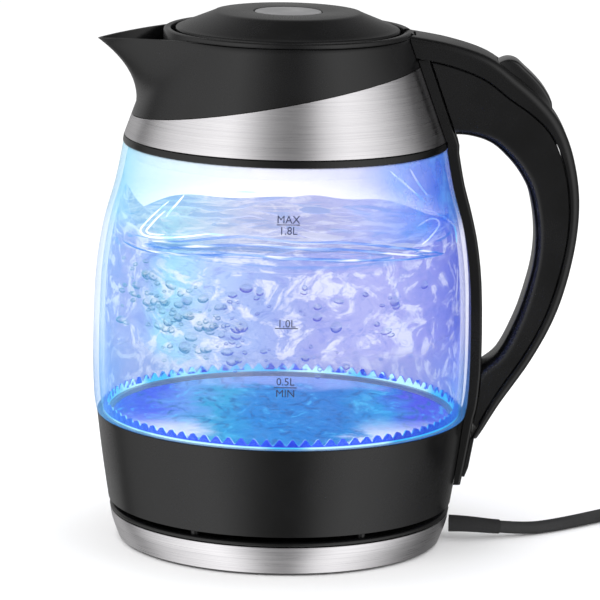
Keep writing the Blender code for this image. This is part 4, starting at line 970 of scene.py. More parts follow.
def make_camera():
    away = Vector((0, -math.cos(CAMERA_RISE), math.sin(CAMERA_RISE)))
    data = bpy.data.cameras.new("camera")
    data.lens = 240
    data.sensor_width = 36
    data.clip_end = 20
    camera = bpy.data.objects.new("camera", data)
    turn = away.to_track_quat("Z", "Y").to_matrix() @ Matrix.Rotation(CAMERA_ROLL, 3, "Z")
    place = Vector(CAMERA_TARGET) + away * CAMERA_DISTANCE
    camera.matrix_world = Matrix.Translation(place) @ turn.to_4x4()
    bpy.context.scene.collection.objects.link(camera)
    bpy.context.scene.camera = camera


def make_floor():
    none_selected()
    bpy.ops.mesh.primitive_plane_add(size=8, location=(0, 0, 0))
    floor = bpy.context.object
    floor.name = "floor"
    finish = Finish("floor")
    cloud = finish.noise(finish.place(), 2.0, 2.0)
    finish.set(
        Base_Color=finish.mix(cloud, "fbfbfc", "ffffff"),
        Roughness=finish.spread(cloud, 0.45, 0.6),
        Specular_IOR_Level=0.0,
    )
    floor.data.materials.append(finish.material)
    floor.visible_glossy = False


def area_light(name, place, target, size, power):
    data = bpy.data.lights.new(name, "AREA")
    data.shape = "SQUARE"
    data.size = size
    data.energy = power
    lamp = bpy.data.objects.new(name, data)
    lamp.visible_glossy = False
    aim = (Vector(place) - Vector(target)).to_track_quat("Z", "Y")
    lamp.matrix_world = Matrix.Translation(place) @ aim.to_matrix().to_4x4()
    bpy.context.scene.collection.objects.link(lamp)


def make_lamps():
    middle = (0, 0, 0.12)
    area_light("key_light", (-0.9, -1.1, 1.25), middle, 0.8, 7)
    area_light("fill_light", (1.2, -0.9, 0.9), middle, 0.7, 3)
    area_light("top_light", (0, 0.2, 1.6), middle, 1.0, 6)


class Sky(Finish):
    """The world, told in values like a finish."""

    def __init__(self, name):
        self.world = bpy.data.worlds.new(name)
        self.world.use_nodes = True
        self.tree = self.world.node_tree


# Turn in degrees from straight behind the camera, right being positive, and level of the studio there
STUDIO_TURNS = (
    (-180, 0.26), (-136, 0.42), (-131, 0.16), (-123, 0.18), (-115, 0.42), (-90, 0.80), (-66, 1.00),
    (-44, 1.20), (-28, 0.80), (-14, 0.38), (0, 0.22), (12, 0.20), (20, 0.36), (30, 0.84), (48, 1.15),
    (68, 0.95), (90, 0.55), (104, 0.28), (118, 0.14), (140, 0.08), (165, 0.18), (180, 0.26),
)


def make_sky():
    """White all round for the eye, and for reflections a studio with softly lit and darker parts."""
    sky = Sky("studio")
    bpy.context.scene.world = sky.world
    bpy.context.scene.view_settings.view_transform = "Standard"
    x, y, z = sky.split(sky.node("ShaderNodeTexCoord"))
    turn = sky.node("ShaderNodeMath", {"operation": "ARCTAN2"}, {0: x, 1: y * -1.0})
    stops_at = [((turned_by + 180) / 360, grey(level)) for turned_by, level in STUDIO_TURNS]
    round_about = sky.ramp(turn / (2 * math.pi) + 0.5, stops_at)
    overhead = sky.between(z, 0.50, 0.92, 1.15, 0.30)
    studio = sky.mix(1.0, round_about, overhead, "MULTIPLY")
    glossy = sky.node("ShaderNodeLightPath", output=3)
    background = sky.tree.nodes["Background"]
    sky.feed(background.inputs[0], sky.mix(glossy, grey(1.0), studio))
    background.inputs[1].default_value = 1.0


class KETTLE_OT_cord(PieceOperator, bpy.types.Operator):
    """Builds the power cord with its strain relief and its plug"""

    bl_idname = "kettle.cord"
    bl_label = "Cord"

    def build(self):
        cord, points = make_cord()
        relief = settled(make_relief(), "cord_sleeve", ["strain_relief"], finish="rubber", body="base")
        plug = settled(make_plug(), "cord_plug", ["plug_body"], finish="rubber", body="base", angle=50)
        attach(cord, "base")
        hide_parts("cord_lead", "cord_coil", "cord_tail")


class KETTLE_OT_base(PieceOperator, bpy.types.Operator):
    """Builds the power base: trim, top and the nubs that the kettle rests on"""

    bl_idname = "kettle.base"
    bl_label = "Power base"

    def build(self):
        flare, wall = 3.8 * MM, 1.0 * MM
        kink = TRIM_LOW + 0.62 * (TRIM_HIGH - TRIM_LOW)
        outer = [(BASE_R - flare, TRIM_LOW), (BASE_R - 1.1 * MM, kink), (BASE_R - 0.2 * MM, TRIM_HIGH)]
        inner = [(r - wall, z) for r, z in outer]
        rows = rounded(smooth_rows(outer, 4) + inner[::-1] + outer[:1], 0.3 * MM)
        trim = turned(rows)
        settled(trim, "base_trim", ["base_trim_ring"], finish="trim", body="base")
        self.build_top()

    def build_top(self):
        hole = 13.8 * MM
        low_z = TRIM_HIGH + GAP
        dip = ((-0.1, -0.7), (-0.9, 0), (-14, 0), (-14.4, -0.35), (-15.2, -0.35), (-15.6, 0))
        rows = [(hole, low_z)] + near(66.5 * MM, low_z, (0, 0), (0, -7), (1.5, -7), (1.5, 0))
        rows += near(BASE_R, low_z, (-0.5, 0), (0, 0.6)) + near(BASE_R, BASE_TOP, *dip)
        rows += [(hole, BASE_TOP), (hole, low_z)]
        top = turned(rounded(rows, 0.4 * MM))
        nubs = []
        reach = BASE_R - 4 * MM
        for turn in (60, 120, 240, 300):
            angle = math.radians(turn)
            centre = (reach * math.cos(angle), reach * math.sin(angle))
            nub_rows = near(0, BASE_TOP, (0, -0.8), (2.0, -0.8), (2.0, 1.5), (1.5, 2.05), (0, 2.1))
            nubs.append(turned(nub_rows, 16, centre))
        settled(joined([top] + nubs), "base_top", ["base_top_cover"], body="base")


def housing_rows(steps):
    """Outside of the lower housing, which swells from its foot to the glass."""
    middle = (KETTLE_FOOT + HOUSING_TOP) / 2
    drops = ((7.2, KETTLE_FOOT), (4.3, middle), (1.9, HOUSING_TOP))
    return smooth_rows([(BELLY_R - drop * MM, z) for drop, z in drops], steps)


class KETTLE_OT_housing(PieceOperator, bpy.types.Operator):
    """Builds the lower housing of the kettle"""

    bl_idname = "kettle.housing"
    bl_label = "Lower housing"

    def build(self):
        outer = housing_rows(7)
        wall = 2.2 * MM
        seat = BELLY_R - 4.0 * MM
        inside = [(r - wall, z) for r, z in outer if z < HOUSING_TOP - 6 * MM]
        rows = outer + [(seat, HOUSING_TOP), (seat, HOUSING_TOP - 3.6 * MM)]
        rows += [(inside[-1][0], inside[-1][1] + MM)] + inside[::-1] + outer[:1]
        piece = turned(rounded(rows, 0.5 * MM))
        settled(piece, "kettle_housing", ["lower_housing"])


GLASS_CURVE = (
    (0.0, 1.7), (0.07, 0.55), (0.24, 0.0), (0.50, 0.8), (0.69, 3.7), (0.86, 8.9), (1.0, 12.0),
)


def glass_rows(inset=0.0, steps=6):
    tall = GLASS_TOP - GLASS_FOOT
    rows = [(BELLY_R - drop * MM - inset, GLASS_FOOT + share * tall) for share, drop in GLASS_CURVE]
    return smooth_rows(rows, steps)


def glass_radius(z):
    rows = glass_rows()
    for (r1, z1), (r2, z2) in zip(rows, rows[1:]):
        if z1 <= z <= z2:
            return r1 + (r2 - r1) * (z - z1) / (z2 - z1)
    return rows[0][0] if z < rows[0][1] else rows[-1][0]


TOOTH_TIP = 0.16  # width of a tooth's tip as a share of its foot


class KETTLE_OT_glass(PieceOperator, bpy.types.Operator):
    """Builds the glass jug and the light ring at its foot"""

    bl_idname = "kettle.glass"
    bl_label = "Glass jug"

    def build(self):
        rows = glass_rows() + glass_rows(GLASS_WALL)[::-1] + glass_rows()[:1]
        jug = turned(rounded(rows, 0.6 * MM))
        settled(jug, "jug", ["glass_jug"], finish="glass")
        self.build_light()

    def build_light(self):
        outer = radius_of("light_guide_ring")
        inner = outer - 2.4 * MM
        foot, top = low("light_guide_ring").z, high("light_guide_ring").z
        shelf = foot + 0.9 * MM
        rows = [(inner, foot), (outer, foot), (outer, shelf), (inner, shelf), (inner, foot)]
        ring = turned(rows)
        teeth = sizes().light_teeth
        half = math.pi * outer / teeth
        size = (2.0 * MM, 1.8 * half, top - shelf + 0.2 * MM)
        tooth = block(size, ((inner + outer) / 2, 0, (top + shelf) / 2))
        alone(tooth)
        for vert in tooth.data.vertices:
            if vert.co.z > (top + shelf) / 2:
                vert.co.y *= TOOTH_TIP
        all_edited()
        bpy.ops.mesh.spin(
            steps=teeth - 1,
            dupli=True,
            angle=2 * math.pi * (teeth - 1) / teeth,
            center=(AXIS_X, 0, 0),
            axis=(0, 0, 1),
        )
        bpy.ops.object.mode_set(mode="OBJECT")
        both = joined([ring, tooth])
        settled(both, "light_ring", ["light_guide_ring"], finish="teeth", angle=20)


def turn_between(angle, other):
    return abs(math.remainder(angle - other, 2 * math.pi))


def water_top(angle, share):
    """Height of the water over its level, at an angle and a share of the radius."""
    size = sizes()
    climb = size.splash_height * math.exp(-((turn_between(angle, math.pi * 1.04) / 0.30) ** 2))
    climb += 0.42 * size.splash_height * math.exp(-((turn_between(angle, -0.25) / 0.42) ** 2))
    waves = (
        math.sin(5 * angle + 9 * share)
        + 0.7 * math.sin(9 * angle - 14 * share + 1.3)
        + 0.5 * math.sin(3 * angle + 26 * share)
    )
    return climb * share**7 + size.wave_height * waves * (0.35 + 0.65 * share)


class KETTLE_OT_water(PieceOperator, bpy.types.Operator):
    """Builds the boiling water and its bubbles"""

    bl_idname = "kettle.water"
    bl_label = "Water"

    def build(self):
        foot = high("heating_plate").z + 0.4 * MM
        level = sizes().water_level
        inset = GLASS_WALL + 2.2 * MM
        steps, rise, rings = 128, 26, 16
        loops = []
        for k in range(rings):
            share = (k + 1) / rings
            loops.append(self.loop(steps, lambda a: (share * (glass_radius(foot) - inset), foot)))
        for k in range(1, rise):
            share = k / rise

            def wall(angle):
                z = foot + (level + water_top(angle, 1.0) - foot) * share
                return glass_radius(z) - inset, z

            loops.append(self.loop(steps, wall))
        for k in range(rings, 0, -1):
            share = k / rings

            def top(angle):
                z = level + water_top(angle, share)
                edge = glass_radius(level + water_top(angle, 1.0)) - inset
                return share * edge, z

            loops.append(self.loop(steps, top))
        water = draped(loops)
        settled(water, "boiling_water", finish="water", angle=60)
        self.build_bubbles()
        self.build_ridges("splashes", "splash", SPLASHES, 0.42 * MM, 0.9 * MM)
        self.build_ridges("ripples", "ripple", RIPPLES, 0.62 * MM, 1.0 * MM)

    def loop(self, steps, at):
        points = []
        for i in range(steps):
            angle = 2 * math.pi * i / steps
            r, z = at(angle)
            points.append(Vector((AXIS_X + r * math.cos(angle), r * math.sin(angle), z)))
        return points

    def build_bubbles(self):
        """Each bubble is a squashed ball. They crowd in a slanting cloud at the spout side."""
        draw = random.Random(7)
        made = []
        for _ in range(sizes().bubbles):
            crowded = draw.random() < 0.55
            side = draw.uniform(-68, -14) if crowded else draw.uniform(-62, 60)
            z = 100 - side * 0.24 + draw.gauss(0, 6) if crowded else draw.uniform(86, 126)
            size = draw.uniform(0.6, 1.3) if draw.random() < 0.60 else draw.uniform(1.3, 2.8)
            reach = glass_radius(z * MM) - GLASS_WALL - (0.3 + size) * MM
            x = side * MM
            none_selected()
            bpy.ops.mesh.primitive_uv_sphere_add(
                segments=12,
                ring_count=8,
                radius=size * MM,
                location=(AXIS_X + x, -math.sqrt(reach**2 - x**2), z * MM),
                rotation=(draw.uniform(-0.4, 0.4), draw.uniform(-0.5, 0.5), draw.uniform(0, 3)),
            )
            squash = draw.uniform(0.5, 0.95)
            bpy.ops.transform.resize(value=(draw.uniform(0.9, 1.4), 1, squash))
            made.append(bpy.context.object)
        settled(joined(made), "bubbles", finish="bubble", angle=80)

    def build_ridges(self, name, finish, ridges, width, standoff):
        """Thin folds of water that lie on the inside of the glass."""
        made = []
        for ridge in ridges:
            line = []
            for side, over in smooth_rows(ridge, 6):
                z = sizes().water_level + over * MM
                r = glass_radius(z) - GLASS_WALL - standoff
                x = side * MM
                line.append(Vector((AXIS_X + x, -math.sqrt(r**2 - x**2), z)))
            count = len(line) - 1
            radii = [width * (0.3 + 0.7 * math.sin(math.pi * k / count) ** 0.5) for k in range(count + 1)]
            made.append(draped(rings_along(line, radii, 8)))
        settled(joined(made), name, finish=finish, angle=80)


# Folds of water as (distance from the axis to the side, height over the water's level) in millimetres
SPLASHES = (
    (
        (-47.6, 17.6), (-50.6, 14.8), (-54.1, 11.0), (-57.6, 6.9), (-59.4, 4.1), (-58.1, 2.5),
        (-54.2, 2.4), (-47.8, 3.4), (-39.4, 5.1), (-31.1, 7.0), (-24.1, 7.3),
    ),
    ((-48.9, 13.8), (-52.4, 10.2), (-55.4, 6.5), (-56.8, 4.3), (-54.6, 3.5), (-49.1, 4.4)),
    ((-41.2, 21.1), (-43.8, 17.7), (-46.8, 14.1), (-48.5, 11.5)),
    # A painted highlight: this bright dash stands for a reflection on the glass, not a fold of water.
    ((-25.0, 24.2), (-18.0, 24.7), (-12.0, 24.9), (-6.8, 25.0)),
    ((57.9, 14.4), (63.1, 11.8), (68.4, 7.4), (72.0, 2.3), (73.0, -3.9)),
    ((43.3, 32.1), (48.7, 27.1), (53.7, 22.1), (58.8, 16.9)),
    ((51.8, 31.7), (55.1, 25.8), (59.8, 19.0)),
    ((55.5, 8.4), (59.9, 10.0), (63.4, 9.3), (64.7, 6.6), (61.0, 3.1), (57.5, 0.9)),
)
RIPPLES = (
    (
        (-54.2, 0.8), (-41.5, 2.9), (-29.0, 5.5), (-16.7, 7.2), (-4.5, 6.5), (7.7, 5.4), (24.1, 5.2),
        (40.6, 2.7), (57.4, -1.5), (67.0, -5.3),
    ),
    (
        (-58.6, -2.0), (-45.8, -0.3), (-33.2, 2.1), (-20.8, 3.5), (-7.8, 4.1), (7.7, 3.1), (24.0, 2.5),
        (40.5, 0.0), (61.7, -4.6),
    ),
    (
        (-67.0, -2.8), (-58.6, -3.6), (-45.8, -2.7), (-31.2, -1.4), (-16.8, 0.1), (-0.5, -0.7),
        (15.8, -1.3), (32.2, -2.3), (48.8, -3.8), (66.1, -5.2),
    ),
)


# Level marks: heights of the words and of the lines, in millimetres
MARK_WORDS = (("MAX", 149.6), ("1.8L", 145.2), ("1.0L", 107.9), ("0.5L", 83.8), ("MIN", 78.9))
MARK_LINES = (149.0, 107.4, 82.8)
MARK_MIDDLE = 2.0 * MM
MARK_TALL = 3.1 * MM
MARK_PLANE = -60 * MM  # the marks are laid out flat here, and then wrapped on the glass
CAPITAL = 0.70  # height of a capital as a share of the letter size


class KETTLE_OT_marks(PieceOperator, bpy.types.Operator):
    """Prints the level marks on the front of the glass"""

    bl_idname = "kettle.marks"
    bl_label = "Level marks"

    def build(self):
        made = [self.word(text, z * MM) for text, z in MARK_WORDS]
        line = (sizes().mark_width, 0.2 * MM, 0.4 * MM)
        for z in MARK_LINES:
            made.append(block(line, (MARK_MIDDLE, MARK_PLANE, z * MM)))
        print_piece = joined(made)
        for vert in print_piece.data.vertices:
            x = vert.co.x - AXIS_X
            out = glass_radius(vert.co.z) + (SKIN if vert.co.y < MARK_PLANE else 0.2 * SKIN)
            vert.co.y = -math.sqrt(out**2 - x**2)
        settled(print_piece, "level_marks", finish="ink", angle=30)

    def word(self, text, z):
        none_selected()
        place = (AXIS_X + MARK_MIDDLE, MARK_PLANE, z)
        bpy.ops.object.text_add(location=place, rotation=(math.pi / 2, 0, 0))
        word = bpy.context.object
        word.data.body = text
        word.data.align_x = "CENTER"
        word.data.size = MARK_TALL / CAPITAL
        word.data.extrude = 0.1 * MM
        word.data.resolution_u = 3
        bpy.ops.object.convert(target="MESH")
        placed()
        return bpy.context.object


class KETTLE_OT_band(PieceOperator, bpy.types.Operator):
    """Builds the black ring over the glass and the brushed steel band with its slanted edge"""

    bl_idname = "kettle.band"
    bl_label = "Steel band"

    def build(self):
        foot, top = low("glass_collar").z, high("glass_collar").z
        rows = near(COLLAR_R, foot, (-7, 0), (-0.3, 0), (0, 0.5))
        rows += near(COLLAR_R, top, (-0.35, -0.3), (-0.7, 0), (-7, 0)) + rows[:1]
        ring = turned(rounded(rows, 0.3 * MM))
        settled(ring, "collar_ring", ["glass_collar"])
        self.build_steel()

    def build_steel(self):
        reach = 42 * MM
        outer = [(BAND_R - SLOPE * reach * k / 12, BAND_FOOT + reach * k / 12) for k in range(13)]
        inner = [(r - BAND_WALL, z) for r, z in outer]
        steel = turned([*outer, *inner[::-1], outer[0]])
        all_edited()
        bpy.ops.mesh.bisect(
            plane_co=(AXIS_X, 0, BAND_FOOT + BAND_RISE),
            plane_no=Vector((-TILT, 0, 1)).normalized(),
            clear_outer=True,
        )
        bpy.ops.mesh.bridge_edge_loops()
        tidy_mesh()
        settled(steel, "band", ["steel_band"], finish="band")


# The head: a cone drawn out to a spout, with a trough behind the lip and the mouth for the lid
SPOUT_START = BAND_FOOT + 13.8 * MM
SPOUT_TIP = BAND_FOOT + 39.9 * MM
SPOUT_REACH = 16.8 * MM
SPOUT_POWER = 2.15
SPOUT_ROOT_R = 34 * MM
SPOUT_TIP_R = 2.6 * MM
MOUTH_R = 49.29 * MM
NECK_R = 52.39 * MM  # outside of the collar round the lid
SHOULDER = HEAD_TOP - 1.9 * MM
PLUG_FOOT = low("lid_plug").z
HINGE_X = (low("hinge_pin").x + high("hinge_pin").x) / 2 - AXIS_X
HINGE_Z = (low("hinge_pin").z + high("hinge_pin").z) / 2


def spout_reach(z):
    """How far the front edge of the spout stands from the axis at a height."""
    if z <= SPOUT_START:
        return band_radius(z)
    share = (z - SPOUT_START) / (SPOUT_TIP - SPOUT_START)
    return band_radius(SPOUT_START) + SPOUT_REACH * share**SPOUT_POWER


def skin_radius(angle, z):
    """Outside of the head: a circle drawn out to the spout, as a hull of two circles."""
    radius, tip = band_radius(z), spout_reach(z)
    off = turn_between(angle, math.pi)
    share = min(max((z - SPOUT_START) / (SPOUT_TIP - SPOUT_START), 0), 1)
    nose = SPOUT_ROOT_R + (SPOUT_TIP_R - SPOUT_ROOT_R) * share**0.5
    if tip - nose <= radius - nose + 1e-6:
        return radius
    middle = tip - nose
    tangent = math.acos((radius - nose) / middle)
    if off >= tangent:
        return radius
    on_line = radius / math.cos(tangent - off)
    reach = math.sqrt(max(nose**2 - (middle * math.sin(off)) ** 2, 0))
    on_nose = middle * math.cos(off) + reach if nose > middle * math.sin(off) else 0
    touch = math.atan2(nose * math.sin(tangent), middle + nose * math.cos(tangent))
    return on_nose if off < touch and on_nose else on_line


def rim_height(angle):
    reach = skin_radius(angle, SHOULDER) - band_radius(SHOULDER)
    longest = spout_reach(SHOULDER) - band_radius(SHOULDER)
    return SHOULDER - (SHOULDER - SPOUT_TIP) * reach / longest


def slant_point(foot_radius, angle, lift=0.0):
    tilt = TILT * math.cos(angle)
    height = BAND_RISE + lift
    radius = (foot_radius - SLOPE * height) / (1 + SLOPE * tilt)
    return radius, BAND_FOOT + height + tilt * radius


def head_rows(angle):
    """Outline of the head at one angle, from its foot inside the band up and over to the mouth."""
    liner = BAND_R - BAND_WALL - GAP
    skin_low = slant_point(BAND_R, angle, GAP)[1]
    rim = rim_height(angle)
    rows = [(liner, BAND_FOOT), slant_point(liner, angle, GAP)]
    levels = 14
    for i in range(levels):
        z = skin_low + (rim - 0.6 * MM - skin_low) * i / (levels - 1)
        rows.append((skin_radius(angle, z), z))
    outer = skin_radius(angle, rim)
    rows.append((outer - 0.15 * MM, rim - 0.25 * MM))
    rows.append((outer - 0.7 * MM, rim))
    inner = max(outer - HEAD_WALL, NECK_R + 0.3 * MM)
    open_share = min((inner - NECK_R - 0.3 * MM) / (6 * MM), 1)
    floor = rim + 0.3 * MM - open_share * 16 * MM
    floor_out = min(max(skin_radius(angle, floor) - HEAD_WALL, NECK_R + 0.2 * MM), inner)
    lip = rim + (0.1 - 0.2 * open_share) * MM
    rows.append((inner, lip))
    for k in range(1, 7):
        z = lip + (floor - lip) * k / 7
        wall = max(skin_radius(angle, z) - HEAD_WALL, floor_out)
        rows.append((min(wall, inner), z))
    rows.append((floor_out, floor))
    rows.append((NECK_R + 0.1 * MM, floor + 0.1 * MM))
    rows += near(NECK_R, HEAD_TOP, (0, -1.0), (-0.25, -0.35), (-0.9, 0))
    rows += near(MOUTH_R, HEAD_TOP, (0.8, 0), (0.2, -0.2), (0, -0.8))
    rows += [(MOUTH_R, PLUG_FOOT), (liner - 3 * MM, BAND_FOOT + 2 * MM), (liner - 3 * MM, BAND_FOOT)]
    return rows


def head_angles(steps):
    """Steps round the head, close together at the spout."""
    angles = []
    for i in range(steps):
        turn = 2 * math.pi * i / steps
        angles.append(math.pi + turn - 0.7 * math.sin(turn))
    return angles


def hinge_cutters():
    """Room for the lid's knuckle and the hole for its pin."""
    half = 6.4 * MM
    start, end = MOUTH_R - 3 * MM, HINGE_X + 2.6 * MM
    low_z, high_z = HINGE_Z - 5.4 * MM, HEAD_TOP + 4 * MM
    notch = block((end - start, 2 * half, high_z - low_z), ((start + end) / 2, 0, (low_z + high_z) / 2))
    none_selected()
    bpy.ops.mesh.primitive_cylinder_add(
        vertices=24,
        radius=1.4 * MM,
        depth=19.4 * MM,
        location=(AXIS_X + HINGE_X, 0, HINGE_Z),
        rotation=(math.pi / 2, 0, 0),
    )
    bore = bpy.context.object
    placed()
    return notch, bore


class KETTLE_OT_head(PieceOperator, bpy.types.Operator):
    """Builds the head with its spout and the mouth that the lid closes"""

    bl_idname = "kettle.head"
    bl_label = "Head and spout"

    def build(self):
        outlines = []
        angles = head_angles(168)
        for angle in angles:
            rows = head_rows(angle)
            outlines.append([(r * math.cos(angle) + AXIS_X, r * math.sin(angle), z) for r, z in rows])
        count = len(outlines[0])
        loops = [[Vector(outline[k]) for outline in outlines] for k in range(count)]
        head = draped(loops + loops[:1], capped=False)
        for cutter in hinge_cutters():
            cut_by(head, cutter)
        top = HEAD_TOP - 11.6 * MM
        outlet = block((12 * MM, 26 * MM, 5.6 * MM), (-(NECK_R + 1.5 * MM) + 5 * MM, 0, top - 2.8 * MM))
        cut_by(head, outlet)
        settled(head, "kettle_head", ["head_shell"], angle=28)


class KETTLE_OT_lid(PieceOperator, bpy.types.Operator):
    """Builds the lid and the disc let into its top"""

    bl_idname = "kettle.lid"
    bl_label = "Lid"

    def build(self):
        disc_r = radius_of("lid_disc")
        pocket = disc_r + 0.4 * MM
        flat = 31.4 * MM
        foot = low("lid_cover").z
        rows = [(0, LID_TOP - 1.3 * MM)] + near(pocket, LID_TOP, (0, -1.3), (0, -0.3), (0.3, 0))
        rows += near(flat, LID_TOP, (-2.0, 0), (-0.4, -0.25), (0.4, -0.7))
        rows += near(LID_R, HEAD_TOP, (-2.6, 1.3), (-1.6, 0.75), (-0.5, 0.45), (0, -0.2))
        rows += near(LID_R, foot, (0, 0), (-2, 0)) + near(LID_R, HEAD_TOP, (-3.7, -0.2))
        rows += [(flat - 1.4 * MM, LID_TOP - 2.8 * MM), (0, LID_TOP - 2.8 * MM)]
        cover = turned(rounded(rows, 0.35 * MM))
        settled(cover, "lid_top", ["lid_cover"], body="lid", angle=30)
        disc_rows = [(0, LID_TOP - 1.0 * MM)]
        disc_rows += near(disc_r, LID_TOP, (0, -1.0), (0, -0.35), (-0.35, 0), (-3, 0))
        disc_rows.append((0, LID_TOP - 0.15 * MM))
        disc = turned(rounded(disc_rows, 0.2 * MM), 96)
        settled(disc, "lid_badge", ["lid_disc"], finish="disc", body="lid")


# Handle ribs from the head to the foot. Each joins a point of the outer back to a point of the
# finger side: outer reach, outer share, inner reach, inner share, half width, cover depth.
HANDLE_RIBS = (
    (-29.5, 0.996, -21.0, 0.781, 14.0, 9.6), (-12.2, 0.981, -10.0, 0.790, 14.0, 9.6),
    (4.0, 0.9545, -1.8, 0.787, 14.0, 9.8), (16.6, 0.909, 5.7, 0.774, 13.8, 9.2),
    (26.7, 0.866, 11.7, 0.750, 13.5, 7.6), (34.6, 0.819, 17.7, 0.715, 13.2, 6.4),
    (40.2, 0.755, 22.4, 0.669, 13.0, 5.6), (43.5, 0.669, 25.2, 0.595, 12.8, 5.5),
    (43.2, 0.580, 24.9, 0.525, 12.6, 5.3), (39.5, 0.480, 21.7, 0.454, 12.4, 5.0),
    (33.7, 0.3935, 17.5, 0.392, 12.2, 4.6), (24.4, 0.306, 10.7, 0.325, 12.0, 4.3),
    (12.5, 0.218, 1.2, 0.280, 11.6, 4.0), (5.5, 0.160, -4.0, 0.190, 11.0, 3.0),
    (3.1, 0.142, -6.5, 0.145, 10.6, 2.4),
)
HANDLE_EDGE = 0.45 * MM  # bevel along the seam of grip and back
HANDLE_CORNER = 5.0 * MM
COVER_CORNER = 3.6 * MM
SPINE_HALF = 12 * MM
SWITCH_H = 16.6 * MM


def rib_rows(steps):
    """The ribs in metres, with so many steps from one to the next."""
    rows = []
    height = HEAD_TOP - KETTLE_FOOT
    for out_x, out_share, in_x, in_share, half, depth in HANDLE_RIBS:
        back = (BELLY_R + out_x * MM, KETTLE_FOOT + out_share * height)
        grip = (BELLY_R + in_x * MM, KETTLE_FOOT + in_share * height)
        rows.append((*back, *grip, half * MM, depth * MM))
    return smooth_rows(rows, steps)


def rib_points(row, corners):
    out = Vector((AXIS_X + row[0], 0, row[1]))
    inward = (Vector((AXIS_X + row[2], 0, row[3])) - out).normalized()
    return [out + inward * u + Vector((0, v, 0)) for u, v in corners]


def rib_depth(row):
    return math.hypot(row[2] - row[0], row[3] - row[1])


def rounded_end(far, half, corner, direction, step=15):
    """The far end of a section from side to side, its two corners drawn as arcs."""
    points = []
    for side in (-1, 1):
        arc = [math.radians(a) for a in range(0, 91, step)]
        for a in arc if side == -1 else arc[::-1]:
            u = far - direction * corner * (1 - math.sin(a))
            points.append((u, side * (half - corner * (1 - math.cos(a)))))
    return points


def shell_section(row):
    edge, start, half = HANDLE_EDGE, row[5], row[4]
    low_edge = [(start, -half + edge), (start + edge, -half)]
    grip = rounded_end(rib_depth(row), half, HANDLE_CORNER, 1)
    return rib_points(row, low_edge + grip + [(start + edge, half), (start, half - edge)])


def cover_section(row):
    edge, depth, half = HANDLE_EDGE, row[5] - GAP, row[4]
    corner = min(COVER_CORNER, 0.7 * depth)
    low_edge = [(depth, -half + edge), (depth - edge, -half)]
    back = rounded_end(0, half, corner, -1)
    return rib_points(row, low_edge + back + [(depth - edge, half), (depth, half - edge)])


def body_rows():
    collar = [(COLLAR_R, low("glass_collar").z), (COLLAR_R, high("glass_collar").z)]
    head = [(band_radius(z), z) for z in (BAND_FOOT, SHOULDER)]
    return housing_rows(4) + glass_rows(0, 3) + collar + head


def body_radius(z):
    rows = body_rows()
    for (r1, z1), (r2, z2) in zip(rows, rows[1:]):
        if z1 <= z <= z2 and z2 > z1:
            return r1 + (r2 - r1) * (z - z1) / (z2 - z1)
    return rows[0][0] if z < rows[0][1] else rows[-1][0]


def body_cutter(clearance):
    rows = [(r + clearance, z) for r, z in body_rows()]
    rows = [(0, rows[0][1]), *rows, (rows[-1][0], HEAD_TOP + 2 * MM), (0, HEAD_TOP + 2 * MM)]
    return turned(rows, 96)


def spine_proud(z):
    share = min(max((z - low("handle_spine").z) / (3 * SWITCH_H), 0), 1)
    return (2.4 + 1.8 * share) * MM


def spine_loop(z, extra, half, inside, corner):
    outer = body_radius(z) + spine_proud(z) + extra
    inner = body_radius(z) - inside
    points = [(inner, -half), *rounded_end(outer, half, corner, 1, 18), (inner, half)]
    return [Vector((AXIS_X + x, y, z)) for x, y in points]


def spine_levels(count=56):
    foot = low("handle_spine").z
    top = HEAD_TOP - 11 * MM
    return [foot + (top - foot) * i / count for i in range(count + 1)]


def spine_clearance(above):
    levels = spine_levels(40)
    levels = [levels[0] - 12 * MM] + levels + [levels[-1] + above]
    return draped([spine_loop(z, GAP, 25 * MM, 20 * MM, 0.01 * MM) for z in levels])


BUTTON_ROW = 33  # row behind the button's middle, with ten steps from rib to rib


def button_axes():
    """Middle of the button on the handle's back, and its directions along it and inwards."""
    rows = rib_rows(10)
    middle = Vector((AXIS_X + rows[BUTTON_ROW][0], 0, rows[BUTTON_ROW][1]))
    before, after = rows[BUTTON_ROW - 4], rows[BUTTON_ROW + 4]
    along = Vector((after[0] - before[0], 0, after[1] - before[1])).normalized()
    inward = Vector((along.z, 0, -along.x))
    return middle, along, -inward if inward.z > 0 else inward


def on_button(points, half):
    """Loops across the button, one each side, for (along, depth) points of an outline."""
    middle, along, inward = button_axes()
    loops = []
    for side in (-1, 1):
        loops.append([middle + along * s + inward * d + Vector((0, side * half, 0)) for s, d in points])
    return loops


def button_room(start, end, top, bottom, half):
    """A box along the button, in millimetres, that clears the way for it or its rod."""
    corners = ((start, top), (end, top), (end, bottom), (start, bottom))
    return draped(on_button([(s * MM, d * MM) for s, d in corners], half * MM))


